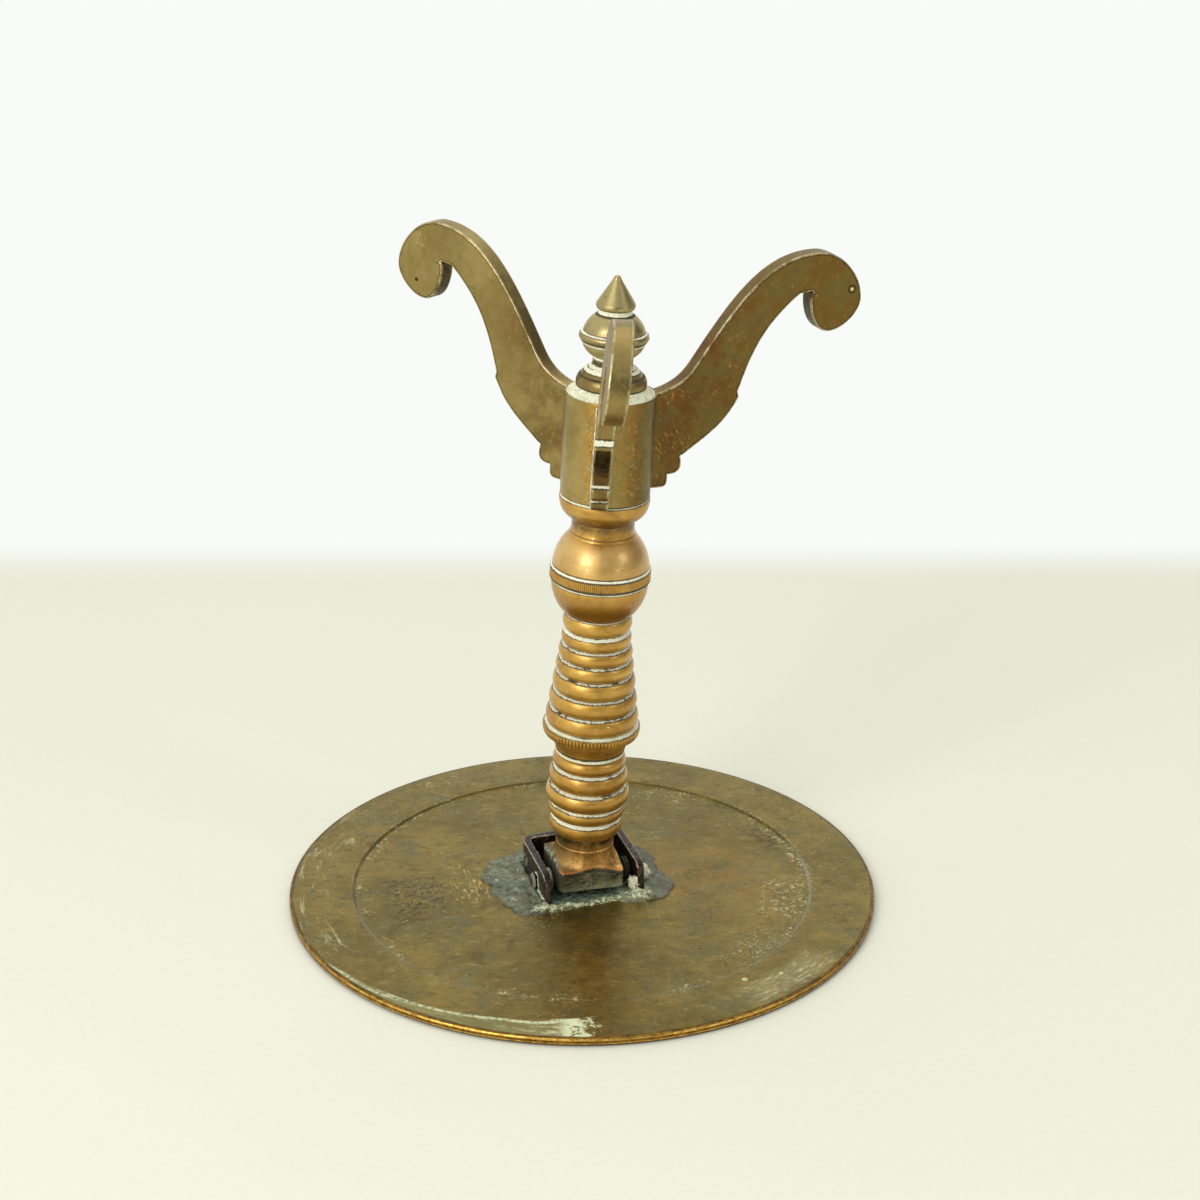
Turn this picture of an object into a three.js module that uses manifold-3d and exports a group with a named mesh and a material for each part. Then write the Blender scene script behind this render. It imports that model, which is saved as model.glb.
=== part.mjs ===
// Candle reflector: a round metal disc with a hinge bracket soldered to its back. A turned stem tilts on
// the hinge pin and carries a collar with three scroll legs and a drop finial. The object lies polished
// face down, so the disc's back is up, its face is in the plane z = 0 and the stem stands over it.
// Millimetres and degrees. The hinge pin lies along X, and the bracket is open towards -Y.
// Heights on the stem are measured along its axis from the disc's face, as when it stands square.

import * as THREE from "three";
import { mergeVertices } from "three/addons/utils/BufferGeometryUtils.js";
import Module from "manifold-3d";

const wasm = await Module();
wasm.setup();

// Clearances
const SEAM = 0.3;            // between two pieces stacked on the tie rod, and round a slotted root
const BORE_CLEARANCE = 0.3;  // radial, tie rod in the bores of the stem
const HOLE_CLEARANCE = 0.15; // radial, rivet in the ears of the bracket

// Disc
const DISC_RADIUS = 80;
const DISC_THICKNESS = 2.2;
const FIELD_RADIUS = 62.8;   // the shallow sunk field on the disc's back
const FIELD_DEPTH = 0.65;
const EDGE_CHAMFER = 0.75;

// Hinge bracket, a strap bent to a U
const BRACKET_WIDTH = 28.4;
const BRACKET_LENGTH = 23.7;
const BRACKET_HEIGHT = 9.2;
const STRAP = 2.1;
const BRACKET_BEND = 3.6;    // outer radius of the two bends
const BRACKET_X = 0.45;      // middle of the strap, right of the disc's middle
const EAR_CORNER = 2.4;      // rounding of the ears' upper front corners
const EAR_DROP = 0.7;        // fall of the ears' upper edge from back to front

// Hinge pin, a rivet through both ears
const PIN_RADIUS = 1.35;
const PIN_Y = -1.8;
const PIN_HEIGHT = 5;
const PIN_TO_FRONT = 8.25;   // from the pin to the front ends of the ears
const HEAD_RADIUS = 2.3;
const HEAD_HEIGHT = 1.2;
const HEAD_GAP = 0.1;        // under each head

// Washers on the pin between the ears and the block
const WASHER_RADIUS = 3.1;
const WASHER_THICKNESS = 1.5;
const WASHER_PLAY = 0.05;    // along the pin, on top of a seam on each side

// Solder pool round the bracket: how far it ran beyond the strap, at places all round from +X by +Y
const SOLDER_THICKNESS = 0.5;
const SOLDER_REACH = [7.9, 9.2, 5.4, 4.9, 5.8, 10, 9.5, 14, 12, 12.6, 6.9, 4.5, 3.4, 6.7, 8.4, 9.5];

// Foot block: a square block with a flared skirt, and a rounded knuckle below
const BLOCK_WIDTH = 18;
const BLOCK_DEPTH = 17.6;
const SHOULDER_DROP = 0.1;   // underside of the block, below the pin
const KNUCKLE_RADIUS = 3;
const PIN_HOLE_RADIUS = 2;
const SKIRT_EDGE = 10.7;     // height of the block's four upper corners
const SKIRT_RISE = 1.5;      // the skirt's flare, up to where it turns steep
const NECK_RADIUS = 7.9;
const NECK_RING = 16.2;      // height of the fine ring cut into the neck
const NECK_RING_WIDTH = 0.5;
const NECK_RING_DEPTH = 0.2;
const FOOT_TOP = 19.2;

// How the stem stands in the photograph: the block has slid along the pin against the left washer
const TILT = 2.4;            // on the hinge, towards the open front
const LEAN = 2.3;            // sideways, in the slack of the worn pin hole
const leftEar = BRACKET_X - BRACKET_WIDTH / 2 + STRAP;
const rightEar = BRACKET_X + BRACKET_WIDTH / 2 - STRAP;
const STEM_X = leftEar + 2 * SEAM + WASHER_THICKNESS + WASHER_PLAY + BLOCK_WIDTH / 2;

// Turned stem. Ribs are [height, largest radius] from the bottom up.
const LOWER_RIBS = [[3.7, 9.9], [4.1, 10.2], [5.8, 11.2], [5.3, 10.4], [4.5, 9.75]];
const UPPER_RIBS = [[5, 12.3], [4.8, 11.65], [5.1, 10.95], [4.2, 10.3], [4, 9.75], [4, 9.2], [4.3, 9.05]];
const RIB_DEPTH = 0.75;
const COVE_HEIGHT = 5;
const COVE_RADIUS = 9.7;
const KNURL_HEIGHT = 3;
const KNURL_RADIUS = 12.95;
const KNURL_DEPTH = 0.4;
const KNURL_TEETH = 84;
const BALL_RADIUS = 12.65;
const BALL_FOOT = 9.1;       // radius of the ball's lower end
const BALL_NECK = 9;         // radius of its upper end
const BELT_RADIUS = 13.1;
const BELT_HEIGHT = 3.5;
const BELT_EDGE = 0.2;
const BELT_LIFT = 0.4;       // of the belt over the ball's middle
const BALL_STRETCH = 2.4;    // between the centres of the ball's two halves
const BEAD_RADIUS = 9.2;
const BEAD_HEIGHT = 1.8;
const BEAD_BULGE = 0.7;
const WAIST_RADIUS = 8.05;
const WAIST_HEIGHT = 7.2;
const LIP_RADIUS = 11.4;
const LIP_HEIGHT = 3;
const LIP_EDGE = 0.6;

// Collar
const COLLAR_HEIGHT = 27.3;
const COLLAR_RADIUS = 11.3;  // at the top
const COLLAR_FLARE = 0.12;   // wider at the bottom
const RIM_WIDTH = 0.9;
const DISH_DEPTH = 0.9;

// Legs. Azimuths are from -Y towards +X. They were set by eye, so they aren't quite evenly spaced.
const LEG_AZIMUTHS = { leg_front: -16.5, leg_right: 95.5, leg_left: -143.5 };
const LEG_REACH = 68;        // from the stem's axis to the outside of the scroll
const LEG_RISE = 60.5;       // from the collar's lower end to the top of the scroll
const LEG_ROOT_INSET = 1.1;  // of the root's ends from the collar's ends
const ROOT_THICKNESS = 4.2;
const SCROLL_THICKNESS = 5;
const SCROLL_LENGTH = 14.1;  // from the notch to the outside
const SCROLL_HEIGHT = 20.8;
const BAND_WIDTH = 10;       // of the curved arm beside the scroll
const EDGE_BREAK = 0.35;
const SLOT_DEPTH = 0.5;      // the plate's seat in the collar
const TAIL_LENGTH = 3;       // of the dovetail behind the seat
const TAIL_NECK = 2.4;
const TAIL_WIDTH = 3.6;

// Finial
const BASE_RADIUS = 8.5;
const BASE_HEIGHT = 6.7;
const BASE_BULGE = 0.9;
const BASE_STEP = 0.5;       // from the bulge in to the cove above it
const FINIAL_NECK = 5;
const NECK_LIP = 0.6;
const DROP_RADIUS = 7.8;
const DROP_BELT_RADIUS = 8.5;
const DROP_BELT_HEIGHT = 2.6;
const BELT_GROOVE = 0.1;     // half the width of the groove that parts the belt
const DROP_HEIGHT = 14.2;
const TIP_RADIUS = 4.95;
const TIP_BULGE = 0.7;
const TIP_NECK = 3.8;
const TIP_STEP = 0.4;
const TIP_HEIGHT = 9.1;
const TIP_END = 0.6;

// Tie rod
const ROD_RADIUS = 2.5;
const ROD_IN_FOOT = 8.5;     // engaged length at the bottom
const ROD_IN_FINIAL = 9;     // and at the top

// Facets round a turned piece
const STEM_SIDES = 30;
const WIDE_SIDES = 36;
const SMALL_SIDES = 16;

// Finishes, by colour, roughness and metalness
const FINISH = {
  bronze: { color: 0x73623e, roughness: 0.55, metalness: 0.85 },
  brass: { color: 0xb07832, roughness: 0.35, metalness: 1 },
  olive: { color: 0x8a7443, roughness: 0.4, metalness: 1 },
  copper: { color: 0x8c5f3c, roughness: 0.45, metalness: 1 },
  iron: { color: 0x3c282d, roughness: 0.7, metalness: 0.6 },
  solder: { color: 0x73736c, roughness: 0.6, metalness: 0.5 },
};

// Heights that follow from the sizes above
const fieldHeight = DISC_THICKNESS - FIELD_DEPTH;
const heightOf = (ribs) => ribs.reduce((sum, [height]) => sum + height, 0);
const lowerGripFoot = FOOT_TOP + SEAM;
const ringFoot = lowerGripFoot + heightOf(LOWER_RIBS) + SEAM;
const upperGripFoot = ringFoot + COVE_HEIGHT + KNURL_HEIGHT + SEAM;
const ballFoot = upperGripFoot + heightOf(UPPER_RIBS) + SEAM;
const lowerHalf = Math.sqrt(BALL_RADIUS ** 2 - BALL_FOOT ** 2);
const upperHalf = Math.sqrt(BALL_RADIUS ** 2 - BALL_NECK ** 2);
const ballHeight = lowerHalf + BALL_STRETCH + upperHalf;
const neckFoot = ballFoot + ballHeight + SEAM;
const neckHeight = BEAD_HEIGHT + WAIST_HEIGHT + LIP_HEIGHT;
const collarFoot = neckFoot + neckHeight + SEAM;
const collarTop = collarFoot + COLLAR_HEIGHT;
const baseFoot = collarTop - DISH_DEPTH + SEAM;
const finialFoot = baseFoot + BASE_HEIGHT + SEAM;
const boreRadius = ROD_RADIUS + BORE_CLEARANCE;

// Geometry helpers

function solidOf(geometry) {
  const bare = geometry.clone();
  bare.deleteAttribute("normal");
  bare.deleteAttribute("uv");
  const merged = mergeVertices(bare, 1e-4);
  return new wasm.Manifold(new wasm.Mesh({
    numProp: 3,
    vertProperties: new Float32Array(merged.attributes.position.array),
    triVerts: new Uint32Array(merged.index.array),
  }));
}

function geometryOf(solid) {
  const mesh = solid.getMesh();
  const geometry = new THREE.BufferGeometry();
  geometry.setAttribute("position", new THREE.BufferAttribute(new Float32Array(mesh.vertProperties), 3));
  geometry.setIndex(new THREE.BufferAttribute(new Uint32Array(mesh.triVerts), 1));
  return geometry;
}

// A turned solid round the Z axis. The profile runs as [radius, height] pairs with the metal on its left:
// outside upwards, then inside or along the axis downwards.
function turned(profile, segments) {
  const points = profile.map(([radius, height]) => new THREE.Vector2(radius, height));
  return new THREE.LatheGeometry(points, segments).rotateX(Math.PI / 2);
}

// A turned piece on the tie rod: the outside profile, closed by the bore
function bored(outside, segments) {
  const foot = outside[0][1];
  const top = outside.at(-1)[1];
  return turned([[boreRadius, foot], ...outside, [boreRadius, top], [boreRadius, foot]], segments);
}

function extruded(shape, depth, options = {}) {
  return new THREE.ExtrudeGeometry(shape, { depth, steps: 1, bevelEnabled: false, ...options });
}

// A rod of radius r along X from x0 to x1
function rodAlongX(r, x0, x1, sides) {
  return new THREE.CylinderGeometry(r, r, x1 - x0, sides)
    .rotateZ(Math.PI / 2).translate((x0 + x1) / 2, 0, 0);
}

// An arc of [radius, height] points on an ellipse, between two angles in degrees from the outward direction
function arc(radius, height, rx, ry, from, to, steps) {
  return Array.from({ length: steps + 1 }, (_, i) => {
    const angle = THREE.MathUtils.degToRad(from + (to - from) * i / steps);
    return [radius + rx * Math.cos(angle), height + ry * Math.sin(angle)];
  });
}

// A stack of half-round ribs from the given height up
function ribbed(ribs, foot) {
  const profile = [];
  let base = foot;
  for (const [height, radius] of ribs) {
    const rib = arc(radius - RIB_DEPTH, base + height / 2, RIB_DEPTH, height / 2, -90, 90, 4);
    profile.push(...rib.slice(0, -1));
    base += height;
  }
  profile.push([ribs.at(-1)[1] - RIB_DEPTH, base]);
  return profile;
}

function part(name, geometry, finish) {
  const mesh = new THREE.Mesh(geometry, new THREE.MeshStandardMaterial(FINISH[finish]));
  mesh.name = name;
  return mesh;
}

// Disc with its sunk field

function reflectorDisc() {
  return turned([
    [0, 0],
    [DISC_RADIUS - EDGE_CHAMFER, 0],
    [DISC_RADIUS, EDGE_CHAMFER],
    [DISC_RADIUS, DISC_THICKNESS - EDGE_CHAMFER],
    [DISC_RADIUS - EDGE_CHAMFER, DISC_THICKNESS],
    [FIELD_RADIUS, DISC_THICKNESS],
    [FIELD_RADIUS - FIELD_DEPTH, fieldHeight],
    [0, fieldHeight],
  ], 72);
}

// Bracket: the strap's plan, with the ears' side outline and pin holes cut into it

const bracketFront = PIN_Y - PIN_TO_FRONT;
const bracketBack = bracketFront + BRACKET_LENGTH;
const bracketLeft = leftEar - STRAP;
const bracketRight = rightEar + STRAP;

function strapPlan() {
  const inner = BRACKET_BEND - STRAP;
  const bendY = bracketBack - BRACKET_BEND;
  const shape = new THREE.Shape();
  shape.moveTo(bracketLeft, bracketFront);
  shape.lineTo(bracketLeft + STRAP, bracketFront);
  shape.absarc(bracketLeft + BRACKET_BEND, bendY, inner, Math.PI, Math.PI / 2, true);
  shape.absarc(bracketRight - BRACKET_BEND, bendY, inner, Math.PI / 2, 0, true);
  shape.lineTo(bracketRight - STRAP, bracketFront);
  shape.lineTo(bracketRight, bracketFront);
  shape.absarc(bracketRight - BRACKET_BEND, bendY, BRACKET_BEND, 0, Math.PI / 2, false);
  shape.absarc(bracketLeft + BRACKET_BEND, bendY, BRACKET_BEND, Math.PI / 2, Math.PI, false);
  shape.closePath();
  return shape;
}

// The outline of an ear seen from the side, as (y, z)
function earOutline() {
  const top = fieldHeight + BRACKET_HEIGHT;
  const frontTop = top - EAR_DROP;
  const shape = new THREE.Shape();
  shape.moveTo(bracketFront, fieldHeight);
  shape.lineTo(bracketBack, fieldHeight);
  shape.lineTo(bracketBack, top);
  shape.lineTo(bracketFront + EAR_CORNER, frontTop);
  shape.quadraticCurveTo(bracketFront, frontTop, bracketFront, frontTop - EAR_CORNER);
  shape.closePath();
  return shape;
}

function hingeBracket() {
  const strap = extruded(strapPlan(), BRACKET_HEIGHT, { curveSegments: 6 }).translate(0, 0, fieldHeight);
  const sides = extruded(earOutline(), BRACKET_WIDTH, { curveSegments: 6 })
    .rotateX(Math.PI / 2).rotateZ(Math.PI / 2).translate(bracketLeft, 0, 0);
  const hole = rodAlongX(PIN_RADIUS + HOLE_CLEARANCE, bracketLeft - STRAP, bracketRight + STRAP, SMALL_SIDES)
    .translate(0, PIN_Y, PIN_HEIGHT);
  return geometryOf(solidOf(strap).intersect(solidOf(sides)).subtract(solidOf(hole)));
}

// Rivet with a domed head outside each ear

function hingePin() {
  const half = BRACKET_WIDTH / 2 + HEAD_GAP;
  const dome = arc(0, half, HEAD_RADIUS, HEAD_HEIGHT, 0, 90, 4);
  const lower = dome.map(([radius, height]) => [radius, -height]).reverse();
  return turned([...lower, [PIN_RADIUS, -half], [PIN_RADIUS, half], ...dome], SMALL_SIDES)
    .rotateY(Math.PI / 2).translate(BRACKET_X, PIN_Y, PIN_HEIGHT);
}

function hingeWasher(x) {
  const hole = PIN_RADIUS + HOLE_CLEARANCE;
  const ring = [
    [hole, 0], [WASHER_RADIUS, 0], [WASHER_RADIUS, WASHER_THICKNESS], [hole, WASHER_THICKNESS], [hole, 0],
  ];
  return turned(ring, SMALL_SIDES).rotateY(Math.PI / 2).translate(x, PIN_Y, PIN_HEIGHT);
}

// Solder that ran out round the bracket, with a freely curved edge

function solderPool() {
  const middle = (bracketFront + bracketBack) / 2;
  const edge = SOLDER_REACH.map((reach, i) => {
    const angle = 2 * Math.PI * i / SOLDER_REACH.length;
    const corner = 1 / Math.max(Math.abs(Math.cos(angle)), Math.abs(Math.sin(angle)));
    const x = BRACKET_X + Math.cos(angle) * (corner * BRACKET_WIDTH / 2 + reach);
    const y = middle + Math.sin(angle) * (corner * BRACKET_LENGTH / 2 + reach);
    return new THREE.Vector3(x, y, 0);
  });
  const curve = new THREE.CatmullRomCurve3(edge, true, "centripetal");
  const shape = new THREE.Shape(curve.getPoints(48).slice(0, -1).map((p) => new THREE.Vector2(p.x, p.y)));
  const hole = new THREE.Path();
  hole.moveTo(bracketLeft - SEAM, bracketFront - SEAM);
  hole.lineTo(bracketLeft - SEAM, bracketBack + SEAM);
  hole.lineTo(bracketRight + SEAM, bracketBack + SEAM);
  hole.lineTo(bracketRight + SEAM, bracketFront - SEAM);
  hole.closePath();
  shape.holes.push(hole);
  return extruded(shape, SOLDER_THICKNESS).translate(0, 0, fieldHeight);
}

// Foot block: block and skirt cut from one turned bell, a round knuckle on the pin and a bore for the rod

function footBlock() {
  const corner = Math.hypot(BLOCK_WIDTH, BLOCK_DEPTH) / 2 + SEAM;
  const shoulder = PIN_HEIGHT - SHOULDER_DROP;
  const flareTop = NECK_RING - 2 * NECK_RING_WIDTH;
  const flare = arc(corner, flareTop, corner - NECK_RADIUS, flareTop - SKIRT_EDGE, 270, 180, 7);
  const steep = SKIRT_EDGE + SKIRT_RISE;
  const bell = turned([
    [0, shoulder],
    [corner, shoulder],
    ...flare.filter(([, height]) => height < steep || height > flareTop - 2 * NECK_RING_WIDTH),
    [NECK_RADIUS, NECK_RING - NECK_RING_WIDTH / 2],
    [NECK_RADIUS - NECK_RING_DEPTH, NECK_RING],
    [NECK_RADIUS, NECK_RING + NECK_RING_WIDTH / 2],
    [NECK_RADIUS, FOOT_TOP],
    [0, FOOT_TOP],
  ], WIDE_SIDES);
  const block = new THREE.BoxGeometry(BLOCK_WIDTH, BLOCK_DEPTH, FOOT_TOP + 1)
    .translate(0, 0, (FOOT_TOP + 1) / 2 + shoulder - 1);
  const knuckle = rodAlongX(KNUCKLE_RADIUS, -BLOCK_WIDTH / 2, BLOCK_WIDTH / 2, STEM_SIDES)
    .translate(0, 0, PIN_HEIGHT);
  const pinHole = rodAlongX(PIN_HOLE_RADIUS, -BLOCK_WIDTH, BLOCK_WIDTH, SMALL_SIDES)
    .translate(0, 0, PIN_HEIGHT);
  const boreFoot = FOOT_TOP - ROD_IN_FOOT - SEAM;
  const bore = new THREE.CylinderGeometry(boreRadius, boreRadius, FOOT_TOP + 1 - boreFoot, SMALL_SIDES)
    .rotateX(Math.PI / 2).translate(0, 0, (FOOT_TOP + 1 + boreFoot) / 2);
  const solid = solidOf(bell).intersect(solidOf(block)).add(solidOf(knuckle));
  return geometryOf(solid.subtract(solidOf(pinHole)).subtract(solidOf(bore)));
}

// Stem, from the bottom up

function lowerGrip() {
  return bored(ribbed(LOWER_RIBS, lowerGripFoot), STEM_SIDES);
}

function upperGrip() {
  return bored(ribbed(UPPER_RIBS, upperGripFoot), STEM_SIDES);
}

function knurledRing() {
  const bandFoot = ringFoot + COVE_HEIGHT;
  const bandTop = bandFoot + KNURL_HEIGHT;
  const valley = KNURL_RADIUS - KNURL_DEPTH;
  const core = valley - KNURL_DEPTH;
  const cove = arc(COVE_RADIUS, bandFoot, valley - COVE_RADIUS, COVE_HEIGHT, -90, 0, 5);
  const body = bored([...cove, [core, bandFoot], [core, bandTop]], WIDE_SIDES);
  const teeth = new THREE.Shape(Array.from({ length: 2 * KNURL_TEETH }, (_, i) => {
    const angle = Math.PI * i / KNURL_TEETH;
    const radius = i % 2 ? KNURL_RADIUS : valley;
    return new THREE.Vector2(radius * Math.cos(angle), radius * Math.sin(angle));
  }));
  teeth.holes.push(new THREE.Path().absarc(0, 0, valley - 3 * KNURL_DEPTH, 0, 2 * Math.PI, true));
  const band = extruded(teeth, KNURL_HEIGHT, { curveSegments: 12 }).translate(0, 0, bandFoot);
  return geometryOf(solidOf(body).add(solidOf(band)));
}

function stemBall() {
  const lowCentre = ballFoot + lowerHalf;
  const highCentre = lowCentre + BALL_STRETCH;
  const beltFoot = (lowCentre + highCentre - BELT_HEIGHT) / 2 + BELT_LIFT;
  const beltTop = beltFoot + BELT_HEIGHT;
  const reach = (height) => THREE.MathUtils.radToDeg(Math.asin(height / BALL_RADIUS));
  return bored([
    ...arc(0, lowCentre, BALL_RADIUS, BALL_RADIUS, -reach(lowerHalf), reach(beltFoot - lowCentre), 6),
    [BELT_RADIUS, beltFoot + BELT_EDGE],
    [BELT_RADIUS, beltTop - BELT_EDGE],
    ...arc(0, highCentre, BALL_RADIUS, BALL_RADIUS, reach(beltTop - highCentre), reach(upperHalf), 6),
  ], WIDE_SIDES);
}

function neckRing() {
  const waistFoot = neckFoot + BEAD_HEIGHT;
  const lipFoot = waistFoot + WAIST_HEIGHT;
  const lipTop = lipFoot + LIP_HEIGHT;
  const lipCentre = LIP_RADIUS - LIP_EDGE;
  const slim = waistFoot + WAIST_HEIGHT * 0.35;
  return bored([
    ...arc(BEAD_RADIUS - BEAD_BULGE, neckFoot + BEAD_HEIGHT / 2, BEAD_BULGE, BEAD_HEIGHT / 2, -90, 90, 4),
    [WAIST_RADIUS * 1.02, waistFoot + WAIST_HEIGHT * 0.04],
    ...arc(lipCentre, slim, WAIST_RADIUS - lipCentre, lipFoot - slim, 0, 75, 5),
    ...arc(lipCentre, (lipFoot + lipTop) / 2, LIP_EDGE, LIP_HEIGHT / 2, -60, 90, 5),
  ], STEM_SIDES);
}

// Collar with a dished top and three dovetailed slots

// The section of a leg's root in plan, with X outwards, grown by a clearance
function rootSection(clearance, outerEnd) {
  const seat = COLLAR_RADIUS - SLOT_DEPTH - clearance;
  const tail = seat - TAIL_LENGTH;
  const plate = ROOT_THICKNESS / 2 + clearance;
  const neck = TAIL_NECK / 2 + clearance;
  const end = TAIL_WIDTH / 2 + clearance;
  return new THREE.Shape([
    [outerEnd, -plate], [outerEnd, plate], [seat, plate], [seat, neck],
    [tail, end], [tail, -end], [seat, -neck], [seat, -plate],
  ].map(([x, y]) => new THREE.Vector2(x, y)));
}

// Turns a shape whose outward direction is +X to an azimuth counted from -Y towards +X
const azimuthTurn = (degrees) => THREE.MathUtils.degToRad(degrees - 90);

function collar() {
  const dish = collarTop - DISH_DEPTH;
  const ring = bored([
    [COLLAR_RADIUS + COLLAR_FLARE, collarFoot],
    [COLLAR_RADIUS, collarTop],
    [COLLAR_RADIUS - RIM_WIDTH, collarTop],
    [COLLAR_RADIUS - 2 * RIM_WIDTH, dish],
  ], 72);
  let solid = solidOf(ring);
  for (const azimuth of Object.values(LEG_AZIMUTHS)) {
    const slot = extruded(rootSection(SEAM, COLLAR_RADIUS + 2), COLLAR_HEIGHT + 2)
      .translate(0, 0, collarFoot - 1).rotateZ(azimuthTurn(azimuth));
    solid = solid.subtract(solidOf(slot));
  }
  return geometryOf(solid);
}

// Legs: a flat plate cut to an S ending in a scroll, with a dovetail along its root

function legOutline() {
  const root = COLLAR_RADIUS - SLOT_DEPTH;
  const rootFoot = collarFoot + LEG_ROOT_INSET;
  const rootTop = collarTop - LEG_ROOT_INSET;
  const crown = collarFoot + LEG_RISE;
  // A place on the leg, by shares of its reach out from the collar and of its rise from the root's foot
  const at = (out, up) => [root + out * (LEG_REACH - root), rootFoot + up * (crown - rootFoot)];
  // A place on the scroll, by shares of its length in from its outside and of its height down from its crown
  const on = (inwards, down) => [LEG_REACH - inwards * SCROLL_LENGTH, crown - down * SCROLL_HEIGHT];
  const shape = new THREE.Shape();
  shape.moveTo(root, rootFoot);
  // Two ogee steps
  shape.lineTo(...at(0.07, 0));
  shape.quadraticCurveTo(...at(0.1, 0.003), ...at(0.096, 0.037));
  shape.lineTo(...at(0.098, 0.057));
  shape.lineTo(...at(0.112, 0.057));
  shape.quadraticCurveTo(...at(0.164, 0.061), ...at(0.16, 0.104));
  shape.lineTo(...at(0.156, 0.136));
  // Lower edge, with a small heel
  shape.lineTo(...at(0.168, 0.142));
  shape.bezierCurveTo(...at(0.338, 0.256), ...at(0.362, 0.278), ...at(0.423, 0.38));
  shape.lineTo(...at(0.416, 0.407));
  shape.bezierCurveTo(...at(0.476, 0.594), ...at(0.525, 0.697), ...on(1.262, 0.5));
  // Notch and scroll
  shape.lineTo(LEG_REACH - SCROLL_LENGTH, crown - BAND_WIDTH);
  shape.bezierCurveTo(...on(1.086, 0.468), ...on(1.048, 1), ...on(0.624, 1));
  shape.bezierCurveTo(...on(0.327, 1), ...on(0, 0.784), ...on(0, 0.615));
  shape.bezierCurveTo(...on(0, 0.311), ...on(0.479, 0), ...on(0.887, 0));
  // Upper edge, back to the collar
  shape.bezierCurveTo(...at(0.521, 1), ...at(0.383, 0.803), ...at(0.205, 0.545));
  shape.bezierCurveTo(...at(0.164, 0.483), ...at(0.112, 0.443), root, rootTop);
  shape.closePath();
  return shape;
}

function leg(azimuth) {
  const thickness = ROOT_THICKNESS - 2 * EDGE_BREAK;
  const plate = extruded(legOutline(), thickness, {
    bevelEnabled: true,
    bevelSize: EDGE_BREAK,
    bevelOffset: -EDGE_BREAK,
    bevelThickness: EDGE_BREAK,
    bevelSegments: 1,
    curveSegments: 6,
  });
  plate.translate(0, 0, -thickness / 2).rotateX(Math.PI / 2);
  const position = plate.attributes.position;
  for (let i = 0; i < position.count; i++) {
    const out = (position.getX(i) - COLLAR_RADIUS) / (LEG_REACH - COLLAR_RADIUS);
    const growth = THREE.MathUtils.lerp(1, SCROLL_THICKNESS / ROOT_THICKNESS, Math.max(out, 0));
    position.setY(i, position.getY(i) * growth);
  }
  const rootHeight = COLLAR_HEIGHT - 2 * LEG_ROOT_INSET;
  const tongue = extruded(rootSection(0, COLLAR_RADIUS + EDGE_BREAK), rootHeight)
    .translate(0, 0, collarFoot + LEG_ROOT_INSET);
  return geometryOf(solidOf(plate).add(solidOf(tongue))).rotateZ(azimuthTurn(azimuth));
}

// Finial: a base in the collar's dish, and a drop with a pointed tip screwed on the rod

function finialBase() {
  const top = baseFoot + BASE_HEIGHT;
  const bulge = BASE_HEIGHT * 0.27;
  const shoulder = baseFoot + 2 * bulge;
  const cove = BASE_RADIUS - BASE_BULGE - BASE_STEP;
  return bored([
    ...arc(BASE_RADIUS - BASE_BULGE, baseFoot + bulge, BASE_BULGE, bulge, -90, 90, 5),
    ...arc(cove, top, FINIAL_NECK - cove, shoulder - top, 90, 0, 4),
  ], STEM_SIDES);
}

function finial() {
  const centre = finialFoot + DROP_HEIGHT / 2;
  const dropTop = finialFoot + DROP_HEIGHT;
  const beltFoot = centre - DROP_BELT_HEIGHT / 2;
  const beltTop = centre + DROP_BELT_HEIGHT / 2;
  const tipTop = dropTop + TIP_HEIGHT;
  const lowAngle = THREE.MathUtils.radToDeg(Math.acos(FINIAL_NECK / DROP_RADIUS));
  const highAngle = THREE.MathUtils.radToDeg(Math.acos(TIP_NECK / DROP_RADIUS));
  const lowRise = (DROP_HEIGHT / 2 - NECK_LIP) / Math.sin(THREE.MathUtils.degToRad(lowAngle));
  const highRise = (DROP_HEIGHT / 2 - TIP_STEP) / Math.sin(THREE.MathUtils.degToRad(highAngle));
  const boreTop = finialFoot + ROD_IN_FINIAL + SEAM;
  return turned([
    [boreRadius, finialFoot],
    [FINIAL_NECK, finialFoot],
    ...arc(0, centre, DROP_RADIUS, lowRise, -lowAngle, -12, 4),
    [DROP_BELT_RADIUS, beltFoot],
    [DROP_BELT_RADIUS, centre - BELT_GROOVE],
    [DROP_BELT_RADIUS - 3 * BELT_GROOVE, centre],
    [DROP_BELT_RADIUS - BELT_GROOVE, centre + BELT_GROOVE],
    [DROP_BELT_RADIUS - BELT_GROOVE, beltTop],
    ...arc(0, centre, DROP_RADIUS, highRise, 12, highAngle, 4),
    [TIP_NECK, dropTop],
    ...arc(TIP_RADIUS - TIP_BULGE, dropTop + TIP_HEIGHT * 0.13, TIP_BULGE, TIP_HEIGHT * 0.1, -80, 40, 3),
    ...arc(0, tipTop - TIP_END, TIP_END, TIP_END, 30, 90, 3),
    [0, boreTop],
    [boreRadius, boreTop],
    [boreRadius, finialFoot],
  ], STEM_SIDES);
}

function tieRod() {
  const foot = FOOT_TOP - ROD_IN_FOOT;
  const top = finialFoot + ROD_IN_FINIAL;
  return turned([[0, foot], [ROD_RADIUS, foot], [ROD_RADIUS, top], [0, top]], SMALL_SIDES);
}

// Assembly

const group = new THREE.Group();

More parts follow.
